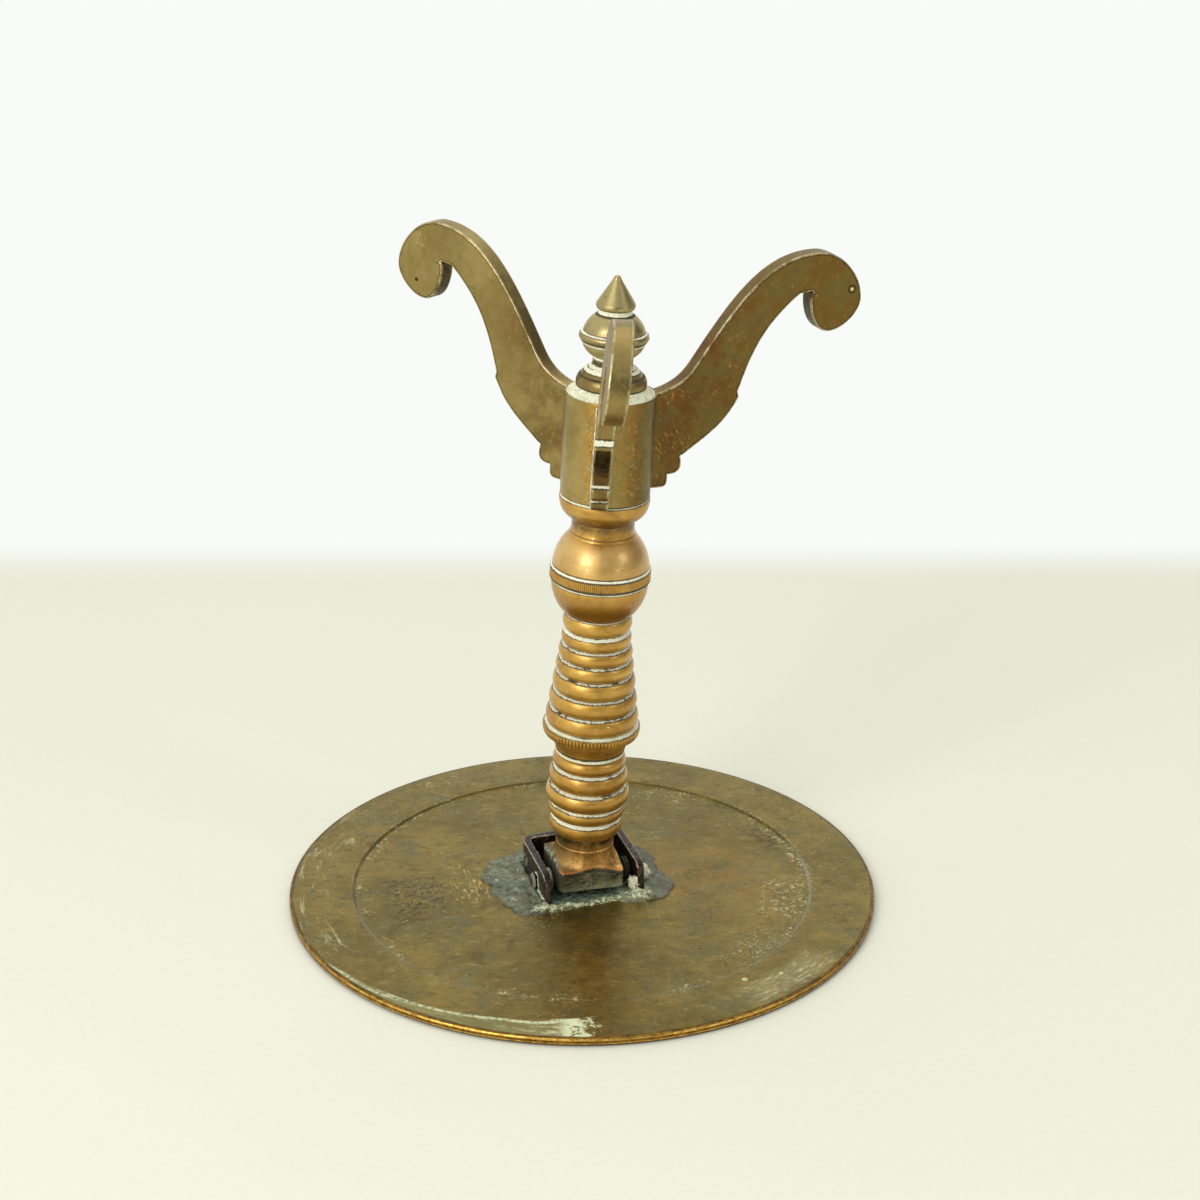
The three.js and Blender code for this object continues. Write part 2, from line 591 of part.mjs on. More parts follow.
group.add(
  part("reflector_disc", reflectorDisc(), "bronze"),
  part("hinge_bracket", hingeBracket(), "iron"),
  part("hinge_pin", hingePin(), "iron"),
  part("hinge_washer_left", hingeWasher(leftEar + SEAM), "brass"),
  part("hinge_washer_right", hingeWasher(rightEar - SEAM - WASHER_THICKNESS), "brass"),
  part("solder_pool", solderPool(), "solder"),
);

// The stand turns about the pin, and its pieces keep their heights above the disc's face
const stand = new THREE.Group();
stand.position.set(STEM_X, PIN_Y, PIN_HEIGHT);
stand.rotation.set(THREE.MathUtils.degToRad(TILT), THREE.MathUtils.degToRad(LEAN), 0, "XYZ");
const pieces = new THREE.Group();
pieces.position.z = -PIN_HEIGHT;
stand.add(pieces);
group.add(stand);

pieces.add(
  part("foot_block", footBlock(), "copper"),
  part("lower_grip", lowerGrip(), "brass"),
  part("knurled_ring", knurledRing(), "brass"),
  part("upper_grip", upperGrip(), "brass"),
  part("stem_ball", stemBall(), "brass"),
  part("neck_ring", neckRing(), "brass"),
  part("collar", collar(), "olive"),
  part("finial_base", finialBase(), "olive"),
  part("finial", finial(), "olive"),
  part("tie_rod", tieRod(), "iron"),
);
for (const [name, azimuth] of Object.entries(LEG_AZIMUTHS)) {
  pieces.add(part(name, leg(azimuth), "olive"));
}

export default group;
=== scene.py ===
import math

import bpy
import numpy as np
from mathutils import Matrix, Vector, noise
from mathutils.geometry import tessellate_polygon


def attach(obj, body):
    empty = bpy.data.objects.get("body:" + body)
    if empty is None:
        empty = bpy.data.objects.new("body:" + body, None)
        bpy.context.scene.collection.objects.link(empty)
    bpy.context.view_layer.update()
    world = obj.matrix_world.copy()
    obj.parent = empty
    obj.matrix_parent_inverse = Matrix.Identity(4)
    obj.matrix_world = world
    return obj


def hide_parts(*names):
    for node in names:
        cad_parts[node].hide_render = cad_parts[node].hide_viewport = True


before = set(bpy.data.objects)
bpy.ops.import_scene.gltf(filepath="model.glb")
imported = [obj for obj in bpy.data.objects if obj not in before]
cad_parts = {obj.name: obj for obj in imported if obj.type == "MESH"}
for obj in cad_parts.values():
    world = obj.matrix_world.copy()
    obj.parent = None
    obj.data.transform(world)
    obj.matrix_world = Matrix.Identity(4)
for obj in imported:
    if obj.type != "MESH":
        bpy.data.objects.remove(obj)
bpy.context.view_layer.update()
MM = 0.001

# Sizes repeated from the part's source
FIELD = 1.55
DISC = {"radius": 80, "top": 2.2, "field_radius": 62.8, "chamfer": 0.75}
EAR_LEFT, EAR_RIGHT = -13.75, 14.65
EAR_FRONT, EAR_BACK = -10.05, 13.65
STRAP, BEND, BRACKET_HEIGHT = 2.1, 3.6, 9.2
EAR_CORNER, EAR_DROP = 2.4, 0.7
PIN = Vector((-0.5, -1.8, 5))
TILT, LEAN = 2.4, 2.3
BLOCK_HALF = (9, 8.8)
SHOULDER, FOOT_TOP = 4.9, 19.2
LOWER_RIBS = [(4.9, 9.9), (4.2, 10.3), (4.85, 11.2), (5.4, 10.5), (4.15, 9.8)]
UPPER_RIBS = [(5.1, 12.3), (4.9, 11.65), (5.0, 10.95), (4.15, 10.3), (4.05, 9.75), (4.1, 9.2), (4.8, 9.1)]
LOWER_GRIP_FOOT, UPPER_GRIP_FOOT = 19.5, 51.5
COLLAR_FOOT, COLLAR_TOP = 116.05, 143.176
COLLAR_RADIUS, LEG_SEAT, LEG_REACH, LEG_CROWN = 11.3, 10.8, 68, 176.376
ROOT_FOOT, ROOT_TOP = 116.976, 142.076
SCROLL_LENGTH, SCROLL_HEIGHT, BAND_WIDTH = 14.1, 20.8, 10
ROOT_THICKNESS, SCROLL_THICKNESS, EDGE_BREAK = 4.2, 5, 0.35
LEG_AZIMUTHS = {"leg_front": -16.5, "leg_right": 95.5, "leg_left": -143.5}
# How much painted shade each leg gets: most on the right leg
LEG_SHADE_TONES = {"leg_front": 0.35, "leg_right": 1.0, "leg_left": 0.15}
BORE = 2.8
RING_TEETH, BELT_TEETH, FINIAL_TEETH = 84, 156, 88

# What the groove attribute and the attribute for dark lines of painted shade say where no groove is near
FAR = 9.0

# The photograph's camera: the direction that the object is seen from, and the lens for a film 36 mm wide
PHOTO_TURN = 17.5
CAMERA_PLACE, CAMERA_YAW, CAMERA_PITCH, CAMERA_ROLL = (-160.7, -511.6, 294.5), 17.93, 21.36, 0.2
CAMERA_LENS, FILM_WIDTH = 66, 36

# How bright the room is on each side, and where the floor fades into the white backdrop
ROOM_LEFT, ROOM_RIGHT, ROOM_FRONT, ROOM_ABOVE = 0.88, 0.2, 0.2, 0.9
FADE_START, FADE_END = 235, 285

STAND = (
    Matrix.Translation(PIN * MM)
    @ Matrix.Rotation(math.radians(TILT), 4, "X")
    @ Matrix.Rotation(math.radians(LEAN), 4, "Y")
    @ Matrix.Translation((0, 0, -PIN.z * MM))
)


# Shader building

def rgb(red, green, blue):
    """An sRGB colour from 0 to 255 as a linear colour."""
    def linear(c):
        c /= 255
        return c / 12.92 if c <= 0.04045 else ((c + 0.055) / 1.055) ** 2.4
    return (linear(red), linear(green), linear(blue), 1)


class Value:
    """A value in a node tree, which adds, subtracts, multiplies and divides like a number."""

    def __init__(self, tree, socket):
        self.tree, self.socket = tree, socket

    def __add__(self, other):
        return self.tree.math("ADD", self, other)

    def __sub__(self, other):
        return self.tree.math("SUBTRACT", self, other)

    def __rsub__(self, other):
        return self.tree.math("SUBTRACT", other, self)

    def __mul__(self, other):
        return self.tree.math("MULTIPLY", self, other)

    def __truediv__(self, other):
        return self.tree.math("DIVIDE", self, other)

    def __abs__(self):
        return self.tree.math("ABSOLUTE", self)


class Tree:
    """The nodes of a material or a world."""

    def __init__(self, owner):
        owner.use_nodes = True
        self.nodes, self.links = owner.node_tree.nodes, owner.node_tree.links

    def put(self, socket, value):
        if isinstance(value, Value):
            self.links.new(value.socket, socket)
        else:
            socket.default_value = value

    def node(self, kind, inputs=(), output=0, **settings):
        """An output of a new node. Its inputs are given by name or number."""
        node = self.nodes.new("ShaderNode" + kind)
        for name, setting in settings.items():
            setattr(node, name, setting)
        for key, value in dict(inputs).items():
            self.put(node.inputs[key], value)
        return Value(self, node.outputs[output])

    def math(self, operation, a, b=0.0, c=0.0):
        return self.node("Math", enumerate((a, b, c)), operation=operation)

    def clamped(self, value):
        """A sum, difference or product, held between 0 and 1."""
        value.socket.node.use_clamp = True
        return value

    def most(self, value, *others):
        for other in others:
            value = self.math("MAXIMUM", value, other)
        return value

    def span(self, value, low, high, to_low=0.0, to_high=1.0):
        """A smooth step from to_low to to_high, while the value goes from low to high."""
        inputs = enumerate((value, low, high, to_low, to_high))
        return self.node("MapRange", inputs, interpolation_type="SMOOTHSTEP")

    def axes(self, place):
        outputs = self.node("SeparateXYZ", {0: place}).socket.node.outputs
        return [Value(self, output) for output in outputs]


class Shader(Tree):
    """Builds one procedural material. Texture places are in millimetres of the piece's own space."""

    def __init__(self, name):
        self.material = bpy.data.materials.new(name)
        super().__init__(self.material)
        self.bsdf = self.nodes["Principled BSDF"]
        metres = self.node("TexCoord", output="Object")
        self.place = self.node("VectorMath", {0: metres, "Scale": 1 / MM}, operation="SCALE")

    def set(self, **inputs):
        for name, value in inputs.items():
            self.put(self.bsdf.inputs[name.replace("_", " ")], value)
        return self.material

    def stretched(self, x, y, z, axis=None, degrees=0):
        """The place, turned about an axis where one is given, and stretched."""
        place = self.place
        if axis:
            place = self.node("VectorRotate", {"Vector": place, "Angle": math.radians(degrees)},
                              rotation_type=axis + "_AXIS")
        return self.node("VectorMath", {0: place, 1: (x, y, z)}, operation="MULTIPLY")

    def noise(self, size, detail=4, roughness=0.55, distortion=0.0, place=None):
        """Noise whose main blobs are about size millimetres across."""
        inputs = {"Vector": place or self.place, "Scale": 1 / size, "Detail": detail, "Roughness": roughness,
                  "Distortion": distortion}
        return self.node("TexNoise", inputs, "Fac")

    def patches(self, noise, low, high, to_low=0.0, to_high=1.0):
        """Patches of a noise, from low up to high. The noise is given by its size or all its settings."""
        noise = self.noise(*noise) if isinstance(noise, tuple) else self.noise(noise)
        return self.span(noise, low, high, to_low, to_high)

    def dots(self, size, edge, core):
        """Scattered round dots. size is their distance, and edge and core are shares of it."""
        distance = self.node("TexVoronoi", {"Vector": self.place, "Scale": 1 / size}, "Distance")
        return self.span(distance, edge, core)

    def spot(self, a, b, centre, radius):
        """A round mask at a place in the plane of the axes a and b."""
        a, b = a - centre[0], b - centre[1]
        return self.span(self.math("SQRT", a * a + b * b), radius * 1.15, radius * 0.75)

    def mix(self, factor, a, b):
        """A mix of two colours, each a value or three sRGB numbers from 0 to 255."""
        a, b = [rgb(*colour) if isinstance(colour, tuple) else colour for colour in (a, b)]
        return self.node("Mix", {0: factor, 6: a, 7: b}, 2, data_type="RGBA")

    def paint(self, colour, *layers):
        """The colour under layers of (mask, colour), the last one on top."""
        for mask, over in layers:
            colour = self.mix(mask, colour, over)
        return colour

    def attribute(self, name):
        return self.node("Attribute", output="Fac", attribute_name=name)

    def bump(self, height, depth, normal=None):
        """Bump of the given depth in millimetres."""
        inputs = {"Strength": 1, "Distance": depth * MM, "Height": height}
        if normal:
            inputs["Normal"] = normal
        return self.node("Bump", inputs)


def finish_metal(s, colour, roughness, metallic, height, depth, fine=0.012):
    """Sets the finish, with a relief of the given depth over a fine grain. Both depths are in millimetres."""
    grain = s.bump(s.noise(0.35, 5, 0.6), fine)
    normal = s.bump(height, depth, grain)
    return s.set(Base_Color=colour, Roughness=roughness, Metallic=metallic, Normal=normal)


def in_grooves(s, metal, rough):
    """Pale residue where the groove attribute is low, broken here and there, and dark lines, painted shade
    with some soil, where the attribute for them is low. The results are colour, roughness, metallic and the
    mask of the residue."""
    ragged = s.noise(0.7, 6, 0.7) - 0.5
    gaps = s.patches((5, 4, 0.6), 0.5, 0.68, 0, 0.4)
    near = s.attribute("groove") + ragged * 1.3 + gaps
    pale = s.span(near, 1.12, 0.84)
    # Painted shade with some soil: dark lines in the grooves, beside the pale residue
    dark_near = s.attribute("dirt_and_shade") + ragged * 1.1
    dark_near = s.math("MINIMUM", dark_near, near - 0.45)
    dark = s.span(dark_near, 1.25, 0.75)
    dirt_and_shade = s.mix(s.patches(0.8, 0.4, 0.6), (30, 26, 14), (70, 68, 42))
    powder = s.mix(s.patches((0.45, 5, 0.7), 0.38, 0.6), (226, 222, 184), (254, 252, 230))
    powder = s.mix(s.patches((0.5, 4, 0.7), 0.62, 0.7) * 0.5, powder, (70, 66, 42))
    colour = s.mix(pale, s.mix(dark * 0.92, metal, dirt_and_shade), powder)
    bare = s.clamped(1 - s.most(pale, dark))
    return colour, bare * (rough - 0.85) + 0.85, bare, pale


def stem_brass():
    s = Shader("stem_brass")
    height = s.axes(s.place)[2]
    broad = s.noise(14, 4, 0.6, 0.6)
    warm = s.mix(s.span(broad, 0.35, 0.65), (190, 140, 56), (214, 169, 80))
    warm = s.paint(
        warm,
        (s.patches((3.2, 6, 0.65, 0.4), 0.52, 0.68) * 0.5, (156, 108, 46)),  # blotches
        (s.patches((1.1, 6, 0.7), 0.57, 0.72) * 0.35, (236, 200, 128)),  # light flecks
        (s.patches((0.5, 6, 0.75), 0.56, 0.68) * 0.3, (120, 84, 36)),  # dark grain
        (s.dots(1.5, 0.17, 0.05) * s.patches(5, 0.48, 0.6) * 0.75, (66, 44, 20)),  # specks
        # Painted shade, in the knurls' gaps and round the neck's waist; then the ball's underside and its
        # crown
        (s.attribute("grime_and_shade") * s.patches((1.8, 6, 0.72, 0.3), 0.34, 0.62, 0.4, 0.95), (104, 82, 42)),
        # Painted reflection of the dark disc, and shade, on the ball's underside
        (s.span(height, 93, 85) * s.span(height, 83, 84.5) * 0.85, (150, 98, 30)),
        # Painted highlight on the ball's crown
        (s.span(height, 96, 99) * s.span(height, 106, 103) * 0.35, (240, 206, 148)),
    )
    rough = s.patches((2.4, 6, 0.65), 0.3, 0.7, 0.4, 0.52)
    colour, rough, metallic, pale = in_grooves(s, warm, rough)
    turning = s.noise(0.28, 3, 0.5, 0, s.stretched(0.03, 0.03, 1))
    s.set(Coat_Weight=0.6, Coat_Roughness=0.12)
    return finish_metal(s, colour, rough, metallic, turning * 0.12 + (s.noise(3.5, 3) + pale), 0.06)


def leg_brass():
    """Olive brass. Where the shade attribute is high it is browner and darker, mostly near the root: painted
    shade, with ruddy and mouldy patina in it.
    """
    s = Shader("leg_brass")
    out, side, up = s.axes(s.place)
    shade_tone, flank, highlight_mottle = s.attribute("shade_tone"), s.attribute("flank"), s.attribute("highlight_mottle")
    broad = s.noise(16, 5, 0.62, 0.4)
    olive = s.mix(s.span(broad, 0.34, 0.66), (150, 130, 78), (178, 158, 102))
    olive = s.paint(
        olive,
        (s.patches((10, 6, 0.68, 0.3), 0.5, 0.7) * 0.4, (156, 112, 66)),  # red
        (s.patches((5, 6, 0.66, 0.3), 0.54, 0.7) * 0.35, (124, 120, 76)),  # green
    )
    brown = s.mix(s.patches((12, 6, 0.7, 0.3), 0.4, 0.62), (120, 104, 58), (124, 94, 48))
    brown = s.paint(
        brown,
        (s.patches((6, 6, 0.7, 0.4), 0.46, 0.62) * s.span(out, 52, 24) * 0.6, (116, 62, 32)),  # ruddy
        (s.patches((2.4, 5, 0.7), 0.6, 0.7) * s.span(out, 34, 20) * 0.6, (84, 98, 62)),  # mould
    )
    hatch = s.patches((0.55, 4, 0.6, 0.2, s.stretched(1, 1, 0.3, "Y", 38)), 0.56, 0.64)
    on_right = s.span(shade_tone, 0.9, 0.97) * s.span(side, 1, -1) * flank
    on_left = s.span(shade_tone, 0.25, 0.2) * s.span(side, -1, 1) * flank
    olive = s.paint(
        olive,
        # Painted shade: browner and darker where the shade attribute is high
        (shade_tone, brown),
        # Dark near the root
        (s.span(out, 44, 14) * s.patches((7, 5, 0.65), 0.3, 0.62) * 0.6 * flank, (96, 76, 42)),
        # Flecks
        (s.patches((0.9, 5, 0.7, 0.3, s.stretched(1, 1, 0.5)), 0.58, 0.7) * s.patches((11, 4), 0.42, 0.56)
         * 0.55, (210, 166, 92)),
        (hatch * s.patches((9, 4, 0.6), 0.44, 0.56) * flank * s.span(out, 46, 24) * 0.45, (196, 142, 74)),
        # Painted highlight, mottled, in two bands round the collar where the lamps' highlights fall
        (highlight_mottle * s.patches((3, 6, 0.7, 0.3), 0.4, 0.56) * 0.65, (180, 132, 60)),
        (highlight_mottle * s.patches((0.9, 6, 0.74), 0.54, 0.62) * 0.85, (216, 172, 92)),
        (highlight_mottle * s.patches((1.4, 6, 0.74), 0.56, 0.66) * 0.6, (98, 74, 36)),
        (s.clamped(s.span(up, 149.5, 151) - flank) * 0.36, (204, 190, 144)),  # finial
        (s.patches((0.7, 6, 0.75), 0.56, 0.7) * 0.4, (88, 78, 44)),  # grit
        (s.dots(1.9, 0.15, 0.05) * s.patches(6, 0.5, 0.6) * 0.75, (52, 44, 26)),  # specks
        # Single marks on the right and left leg's flank
        (s.spot(out, up, (65.0, 166.4), 1.3) * (on_right * 0.7), (60, 48, 26)),
        (s.spot(out, up, (65.0, 166.4), 0.5) * on_right, (232, 218, 168)),
        (s.spot(out, up, (61.6, 160.2), 0.55) * on_left, (64, 56, 34)),
        (s.spot(out, up, (60.6, 171.0), 2.2) * s.patches((1.1, 6, 0.7), 0.5, 0.62) * on_left * 0.5,
         (196, 182, 124)),
        # Painted shade on hidden faces: in the scroll's hook, on the front leg's web and on the collar's
        # right side
        (s.attribute("grime_and_shade") * s.patches((1.6, 5, 0.7), 0.3, 0.6, 0.7, 1), (56, 46, 26)),
        # Painted highlight along the bevelled edges
        (s.attribute("edge") * s.patches((2.5, 5, 0.7), 0.38, 0.62, 0.05, 0.55), (232, 218, 178)),
    )
    rough = s.patches((2.2, 6, 0.65), 0.3, 0.7, 0.3, 0.48)
    colour, rough, metallic, pale = in_grooves(s, olive, rough)
    scratches = s.noise(0.5, 4, 0.6, 0.2, s.stretched(1, 1, 0.12))
    return finish_metal(s, colour, rough, metallic, scratches * 0.3 + (s.noise(3, 4) + pale), 0.05)


def disc_bronze():
    s = Shader("disc_bronze")
    x, y, z = s.axes(s.place)
    radius = s.math("SQRT", x * x + y * y)
    angle = s.math("ARCTAN2", y, x) * (180 / math.pi)
    ringwise = s.node("CombineXYZ", {0: radius, 1: angle * 0.2})

    def patch(turn, half_turn, middle, half_width):
        """A soft mask round a place of the disc, given by its direction in degrees and its radius."""
        around = abs(s.math("WRAP", angle - turn, 180, -180)) / half_turn
        across = abs(radius - middle) / half_width
        return s.span(s.most(around, across), 1.0, 0.35)

    def streaks(size, stretch, low, high):
        """Brushed streaks that run across the photograph."""
        return s.patches((size, 6, 0.68, 0.5, s.stretched(stretch, 1, 1, "Z", PHOTO_TURN)), low, high)

    base = s.mix(streaks(24, 0.8, 0.38, 0.62), (117, 100, 48), (141, 119, 58))
    base = s.paint(
        base,
        (streaks(10, 0.8, 0.5, 0.64) * 0.7, (110, 104, 66)),
        (streaks(7, 0.7, 0.5, 0.68) * 0.5, (152, 124, 62)),
        (streaks(3.4, 0.6, 0.52, 0.68) * 0.45, (92, 80, 42)),
        (streaks(1.9, 0.55, 0.54, 0.68) * 0.55, (166, 146, 86)),
        (streaks(0.9, 0.45, 0.54, 0.66) * 0.6, (78, 70, 38)),
        (s.patches((17, 6, 0.74, 0.4), 0.56, 0.7) * 0.6, (112, 114, 88)),
        (patch(-8, 48, 36, 22) * s.patches((8, 6, 0.7, 0.4), 0.42, 0.6) * 0.6, (150, 112, 50)),  # ochre
        (s.patches((11, 6, 0.74, 0.6), 0.54, 0.68) * 0.55, (84, 70, 36)),  # smudge
        # Light specks, then pits
        (s.dots(1.1, 0.24, 0.1) * s.patches((8, 6, 0.7), 0.52, 0.6) * 0.85, (198, 178, 112)),
        (s.dots(1.7, 0.16, 0.06) * s.patches((9, 6, 0.7), 0.46, 0.54) * 0.85, (46, 38, 22)),
        # Dark marks
        (s.most(patch(174, 20, 46, 12), patch(10, 10, 58, 4)) * s.patches((1.5, 6, 0.75, 0.4), 0.49, 0.57)
         * 0.75, (62, 48, 26)),
    )

    # The crust along the front left edge: a thin film with bright ridges
    along = (angle + 163) / 53
    inner = 78.6 - s.most(along, 0) * 8.2
    depth = radius - inner + (s.noise(7, 5, 0.6, 0.3, ringwise) - 0.5) * 7
    torn = (s.noise(2.6, 6, 0.72, 0.3) - 0.5) * 22
    ends = s.span(angle + torn, -166, -160) * s.span(angle + torn, -106, -107.5) * s.span(radius, 79.3, 78.7)
    film = s.span(depth, -0.1, 0.5) * ends
    ridges = s.patches((1.3, 6, 0.75, 0.3, ringwise), 0.5, 0.58)
    ridges = s.clamped(ridges * (s.span(angle, -122, -109) * 0.8 + 0.2))
    blob_end = s.span(angle, -113, -110) * s.patches((1.6, 5, 0.7), 0.38, 0.48)
    shore = s.span(abs(depth - 0.9), 1.3, 0.3) * s.patches((1.2, 6, 0.74), 0.4, 0.52)
    ridges = s.most(ridges, blob_end, shore)
    ridges = ridges * s.patches((5, 5, 0.65, 0.3, ringwise), 0.36, 0.5, 0.3, 1)
    crust = film * ridges

    crumbs = s.patches((1.0, 6, 0.75), 0.52, 0.58) * s.patches((4, 5, 0.7), 0.42, 0.55, 0.1, 1)
    step = s.span(abs(radius - 61.6), 2.4, 0.4)
    grime_and_shade = s.most(patch(3, 30, 61.8, 2.6) * crumbs, patch(-27, 15, 56, 9) * crumbs)
    thin = step * s.patches(8, 0.48, 0.58) * crumbs
    rubs = s.patches((0.7, 6, 0.65, 0.2, ringwise), 0.52, 0.6)
    rubbed = patch(-62, 15, 73.5, 6) * (rubs * 0.7 + 0.22)
    smear = s.patches((2.6, 6, 0.75, 0.9, ringwise), 0.54, 0.66, 0, 0.85)
    left = s.most(patch(160, 46, 73.5, 7) * smear, patch(-172, 12, 73, 6) * smear)
    spots = patch(176, 20, 45, 11) * s.patches((1.1, 6, 0.75), 0.6, 0.64)
    front = patch(-100, 55, 61, 5) * s.patches((1.0, 6, 0.75), 0.61, 0.65)
    corner = patch(-56, 13, 57, 6) * s.patches((0.9, 6, 0.75), 0.54, 0.6, 0, 0.8)
    marks = s.patches((1.4, 6, 0.75, 0.8), 0.56, 0.62, 0, 0.8)
    marks *= s.most(patch(109, 9, 73, 6), patch(50, 12, 57, 5))
    below = patch(-135, 20, 23, 7) * s.patches((0.9, 6, 0.75), 0.57, 0.64)
    dots = s.most(s.spot(x, y, (23.5, -62.5), 0.8), s.spot(x, y, (33.5, -62.5), 0.6))
    pale = s.most(grime_and_shade, thin, left, rubbed, spots, front, marks, corner, below, dots) * 0.9
    powder = s.mix(s.noise(1.5), (186, 176, 120), (236, 230, 184))
    colour = s.mix(pale, base, powder)
    colour = s.paint(
        colour,
        (film * 0.45, (142, 140, 88)),
        (crust, s.mix(s.noise(1.2), (192, 198, 148), (238, 238, 200))),
    )

    line = s.span(abs(radius - 62.55), 0.5, 0.2)
    line_tone = s.mix(s.span(y, -12, 12), (156, 150, 128), (88, 74, 42))
    colour = s.paint(
        colour,
        # Scored lines, and the line of the step
        (patch(166, 24, 31, 8) * s.patches((0.7, 5, 0.6, 0.1, s.stretched(1, 0.25, 1)), 0.55, 0.63) * 0.9,
         (212, 178, 96)),
        (line * s.patches(6, 0.35, 0.55, 0.4, 0.85), line_tone),
    )

    # The edge: brown, with painted highlights along the front, two gold lines on its rounded corners, and a
    # painted contact shadow all round its foot
    face = s.span(radius, 79.15, 79.4)
    # Painted highlights only along the front: two gold lines on the rounded corners
    bare = patch(-112, 84, 80, 9) * s.patches((5, 5, 0.65), 0.3, 0.5, 0.45, 1)
    brown = s.mix(s.patches((1.6, 6, 0.7), 0.4, 0.6), (96, 66, 28), (150, 108, 44))
    gold = s.mix(s.patches((1.2, 6, 0.7), 0.36, 0.6), (176, 122, 40), (244, 204, 104))
    upper = s.span(abs(z - 1.72), 0.32, 0.14)
    lower = s.span(abs(z - 0.72), 0.24, 0.1, 0, 0.8)
    edge = s.mix(bare * s.most(upper, lower), brown, gold)
    # Painted contact shadow along the foot of the edge
    edge = s.mix(s.span(z, 0.55, 0.25), edge, (40, 28, 14))
    colour = s.paint(
        colour,
        (face, edge),
        (s.span(abs(radius - 79.1), 0.3, 0.12) * s.patches(7, 0.35, 0.55, 0.2, 0.75), (58, 48, 26)),  # rim
    )

    scratches = s.noise(0.6, 4, 0.6, 0.1, s.stretched(1, 0.06, 1))
    crossed = s.noise(0.7, 4, 0.6, 0.1, s.stretched(0.07, 1, 1))
    pale = s.most(pale, crust, film * 0.4)
    rough = pale * 0.35 + s.patches((5, 6, 0.7), 0.3, 0.7, 0.29, 0.46)
    metallic = s.clamped(0.94 - pale * 0.85)
    height = (scratches + crossed) * 0.3 + (s.noise(2.2, 6, 0.7) + pale * 1.2)
    return finish_metal(s, colour, rough, metallic, height, 0.07)


def dark_iron():
    s = Shader("dark_iron")
    base = s.mix(s.patches((3.5, 6, 0.65, 0.6), 0.38, 0.62), (18, 8, 5), (54, 28, 18))
    # Painted glints: pale specks
    base = s.mix(s.patches((1.2, 6, 0.7), 0.56, 0.66) * 0.6, base, (136, 112, 94))
    shine = s.patches((1.3, 5, 0.7), 0.36, 0.56, 0.3, 1)
    x, y, z = s.axes(s.place)
    green = s.patches((2.2, 6, 0.72, 0.5), 0.58, 0.66) * (s.span(z, 5.0, 1.8) * 0.7 + 0.08)
    base = s.paint(
        base,
        (s.attribute("edge") * (shine * s.span(y, -9.95, -9.5, 0.15, 1)), (206, 200, 176)),  # painted highlight along the top edges
        (green, (134, 140, 112)),
        # A pale patch on the left ear
        (s.span(x, -13.4, -13.65) * s.spot(y, z, (8.4, 6.3), 2.0)
         * s.patches((1.3, 6, 0.72, 0.6), 0.46, 0.56), (150, 154, 120)),
    )
    rough = s.patches((1.1, 6, 0.7), 0.3, 0.7, 0.14, 0.34)
    metallic = s.clamped(0.25 - green)
    s.set(Specular_IOR_Level=0.28)
    return finish_metal(s, base, rough, metallic, s.noise(1.5, 6, 0.68, 0.3), 0.5, 0.03)


def foot_copper():
    s = Shader("foot_copper")
    x, y, z = s.axes(s.place)
    base = s.mix(s.patches((5, 5, 0.6, 0.8), 0.36, 0.64), (182, 136, 70), (244, 196, 120))
    low = s.span(z, 11.9, 11.0) * s.patches((2.6, 5, 0.7), 0.38, 0.62, 0.0, 0.5)
    base = s.paint(
        base,
        (s.patches((2.4, 6, 0.68), 0.54, 0.7) * 0.5, (120, 88, 50)),
        (s.dots(1.4, 0.14, 0.05) * s.patches(4, 0.48, 0.58), (46, 34, 22)),  # specks
        (s.span(z, 15.8, 18.6) * s.patches((2, 5, 0.7), 0.35, 0.6, 0.5, 1), (74, 60, 36)),  # painted shade under the grip, near the neck
        (low, (66, 58, 38)),
    )
    face = s.attribute("face")
    level = s.noise(1.8, 6, 0.7, 0.6, s.stretched(0.4, 1, 1))
    rust = s.mix(s.span(level, 0.4, 0.62), (52, 49, 30), (122, 116, 78))
    rust = s.paint(
        rust,
        (s.patches((0.9, 6, 0.75, 0.2, s.stretched(0.35, 1, 1)), 0.54, 0.64) * 0.75, (168, 170, 134)),
        (s.span(z, 7.0, 5.6) * s.patches((1.2, 5, 0.7), 0.36, 0.6, 0.3, 1), (144, 146, 116)),  # low band
        (s.patches((0.5, 5, 0.7), 0.58, 0.66) * 0.6, (166, 154, 98)),  # crumbs
        # Painted shade in a band just under the arch's lip
        (s.attribute("grime_and_shade") * 0.85, (30, 26, 16)),
    )
    flank = s.span(x, -7.9, -8.8) * s.span(z, 17, 14)
    crest = s.span(z, 9.4, 10.8) * s.patches((1.8, 6, 0.7, 0.8), 0.46, 0.56)
    lip = s.attribute("lip")
    base = s.paint(
        base,
        (face, rust),
        # Painted shade on the bell's left side, under the left ear
        (s.span(x, -2, -7.5) * 0.62, (58, 44, 28)),
        # Painted shade on the block's left flank, in the gap by the left ear; the pale crest over it is
        # verdigris
        (flank * 0.75, (56, 54, 36)),
        (flank * crest * 0.85, (150, 162, 134)),
        (lip * s.patches((1.2, 4), 0.32, 0.5, 0.6, 1), (212, 140, 78)),
    )
    dull = s.clamped(s.most(face * 0.85, flank, low * 0.5) * (1 - lip))
    colour, rough, metallic, pale = in_grooves(s, base, s.patches((2, 6, 0.65), 0.3, 0.7, 0.4, 0.6))
    relief = s.noise(1.6, 6, 0.66) + pale
    return finish_metal(s, colour, rough + dull * 0.2, metallic * (1 - dull), relief, 0.2, 0.03)


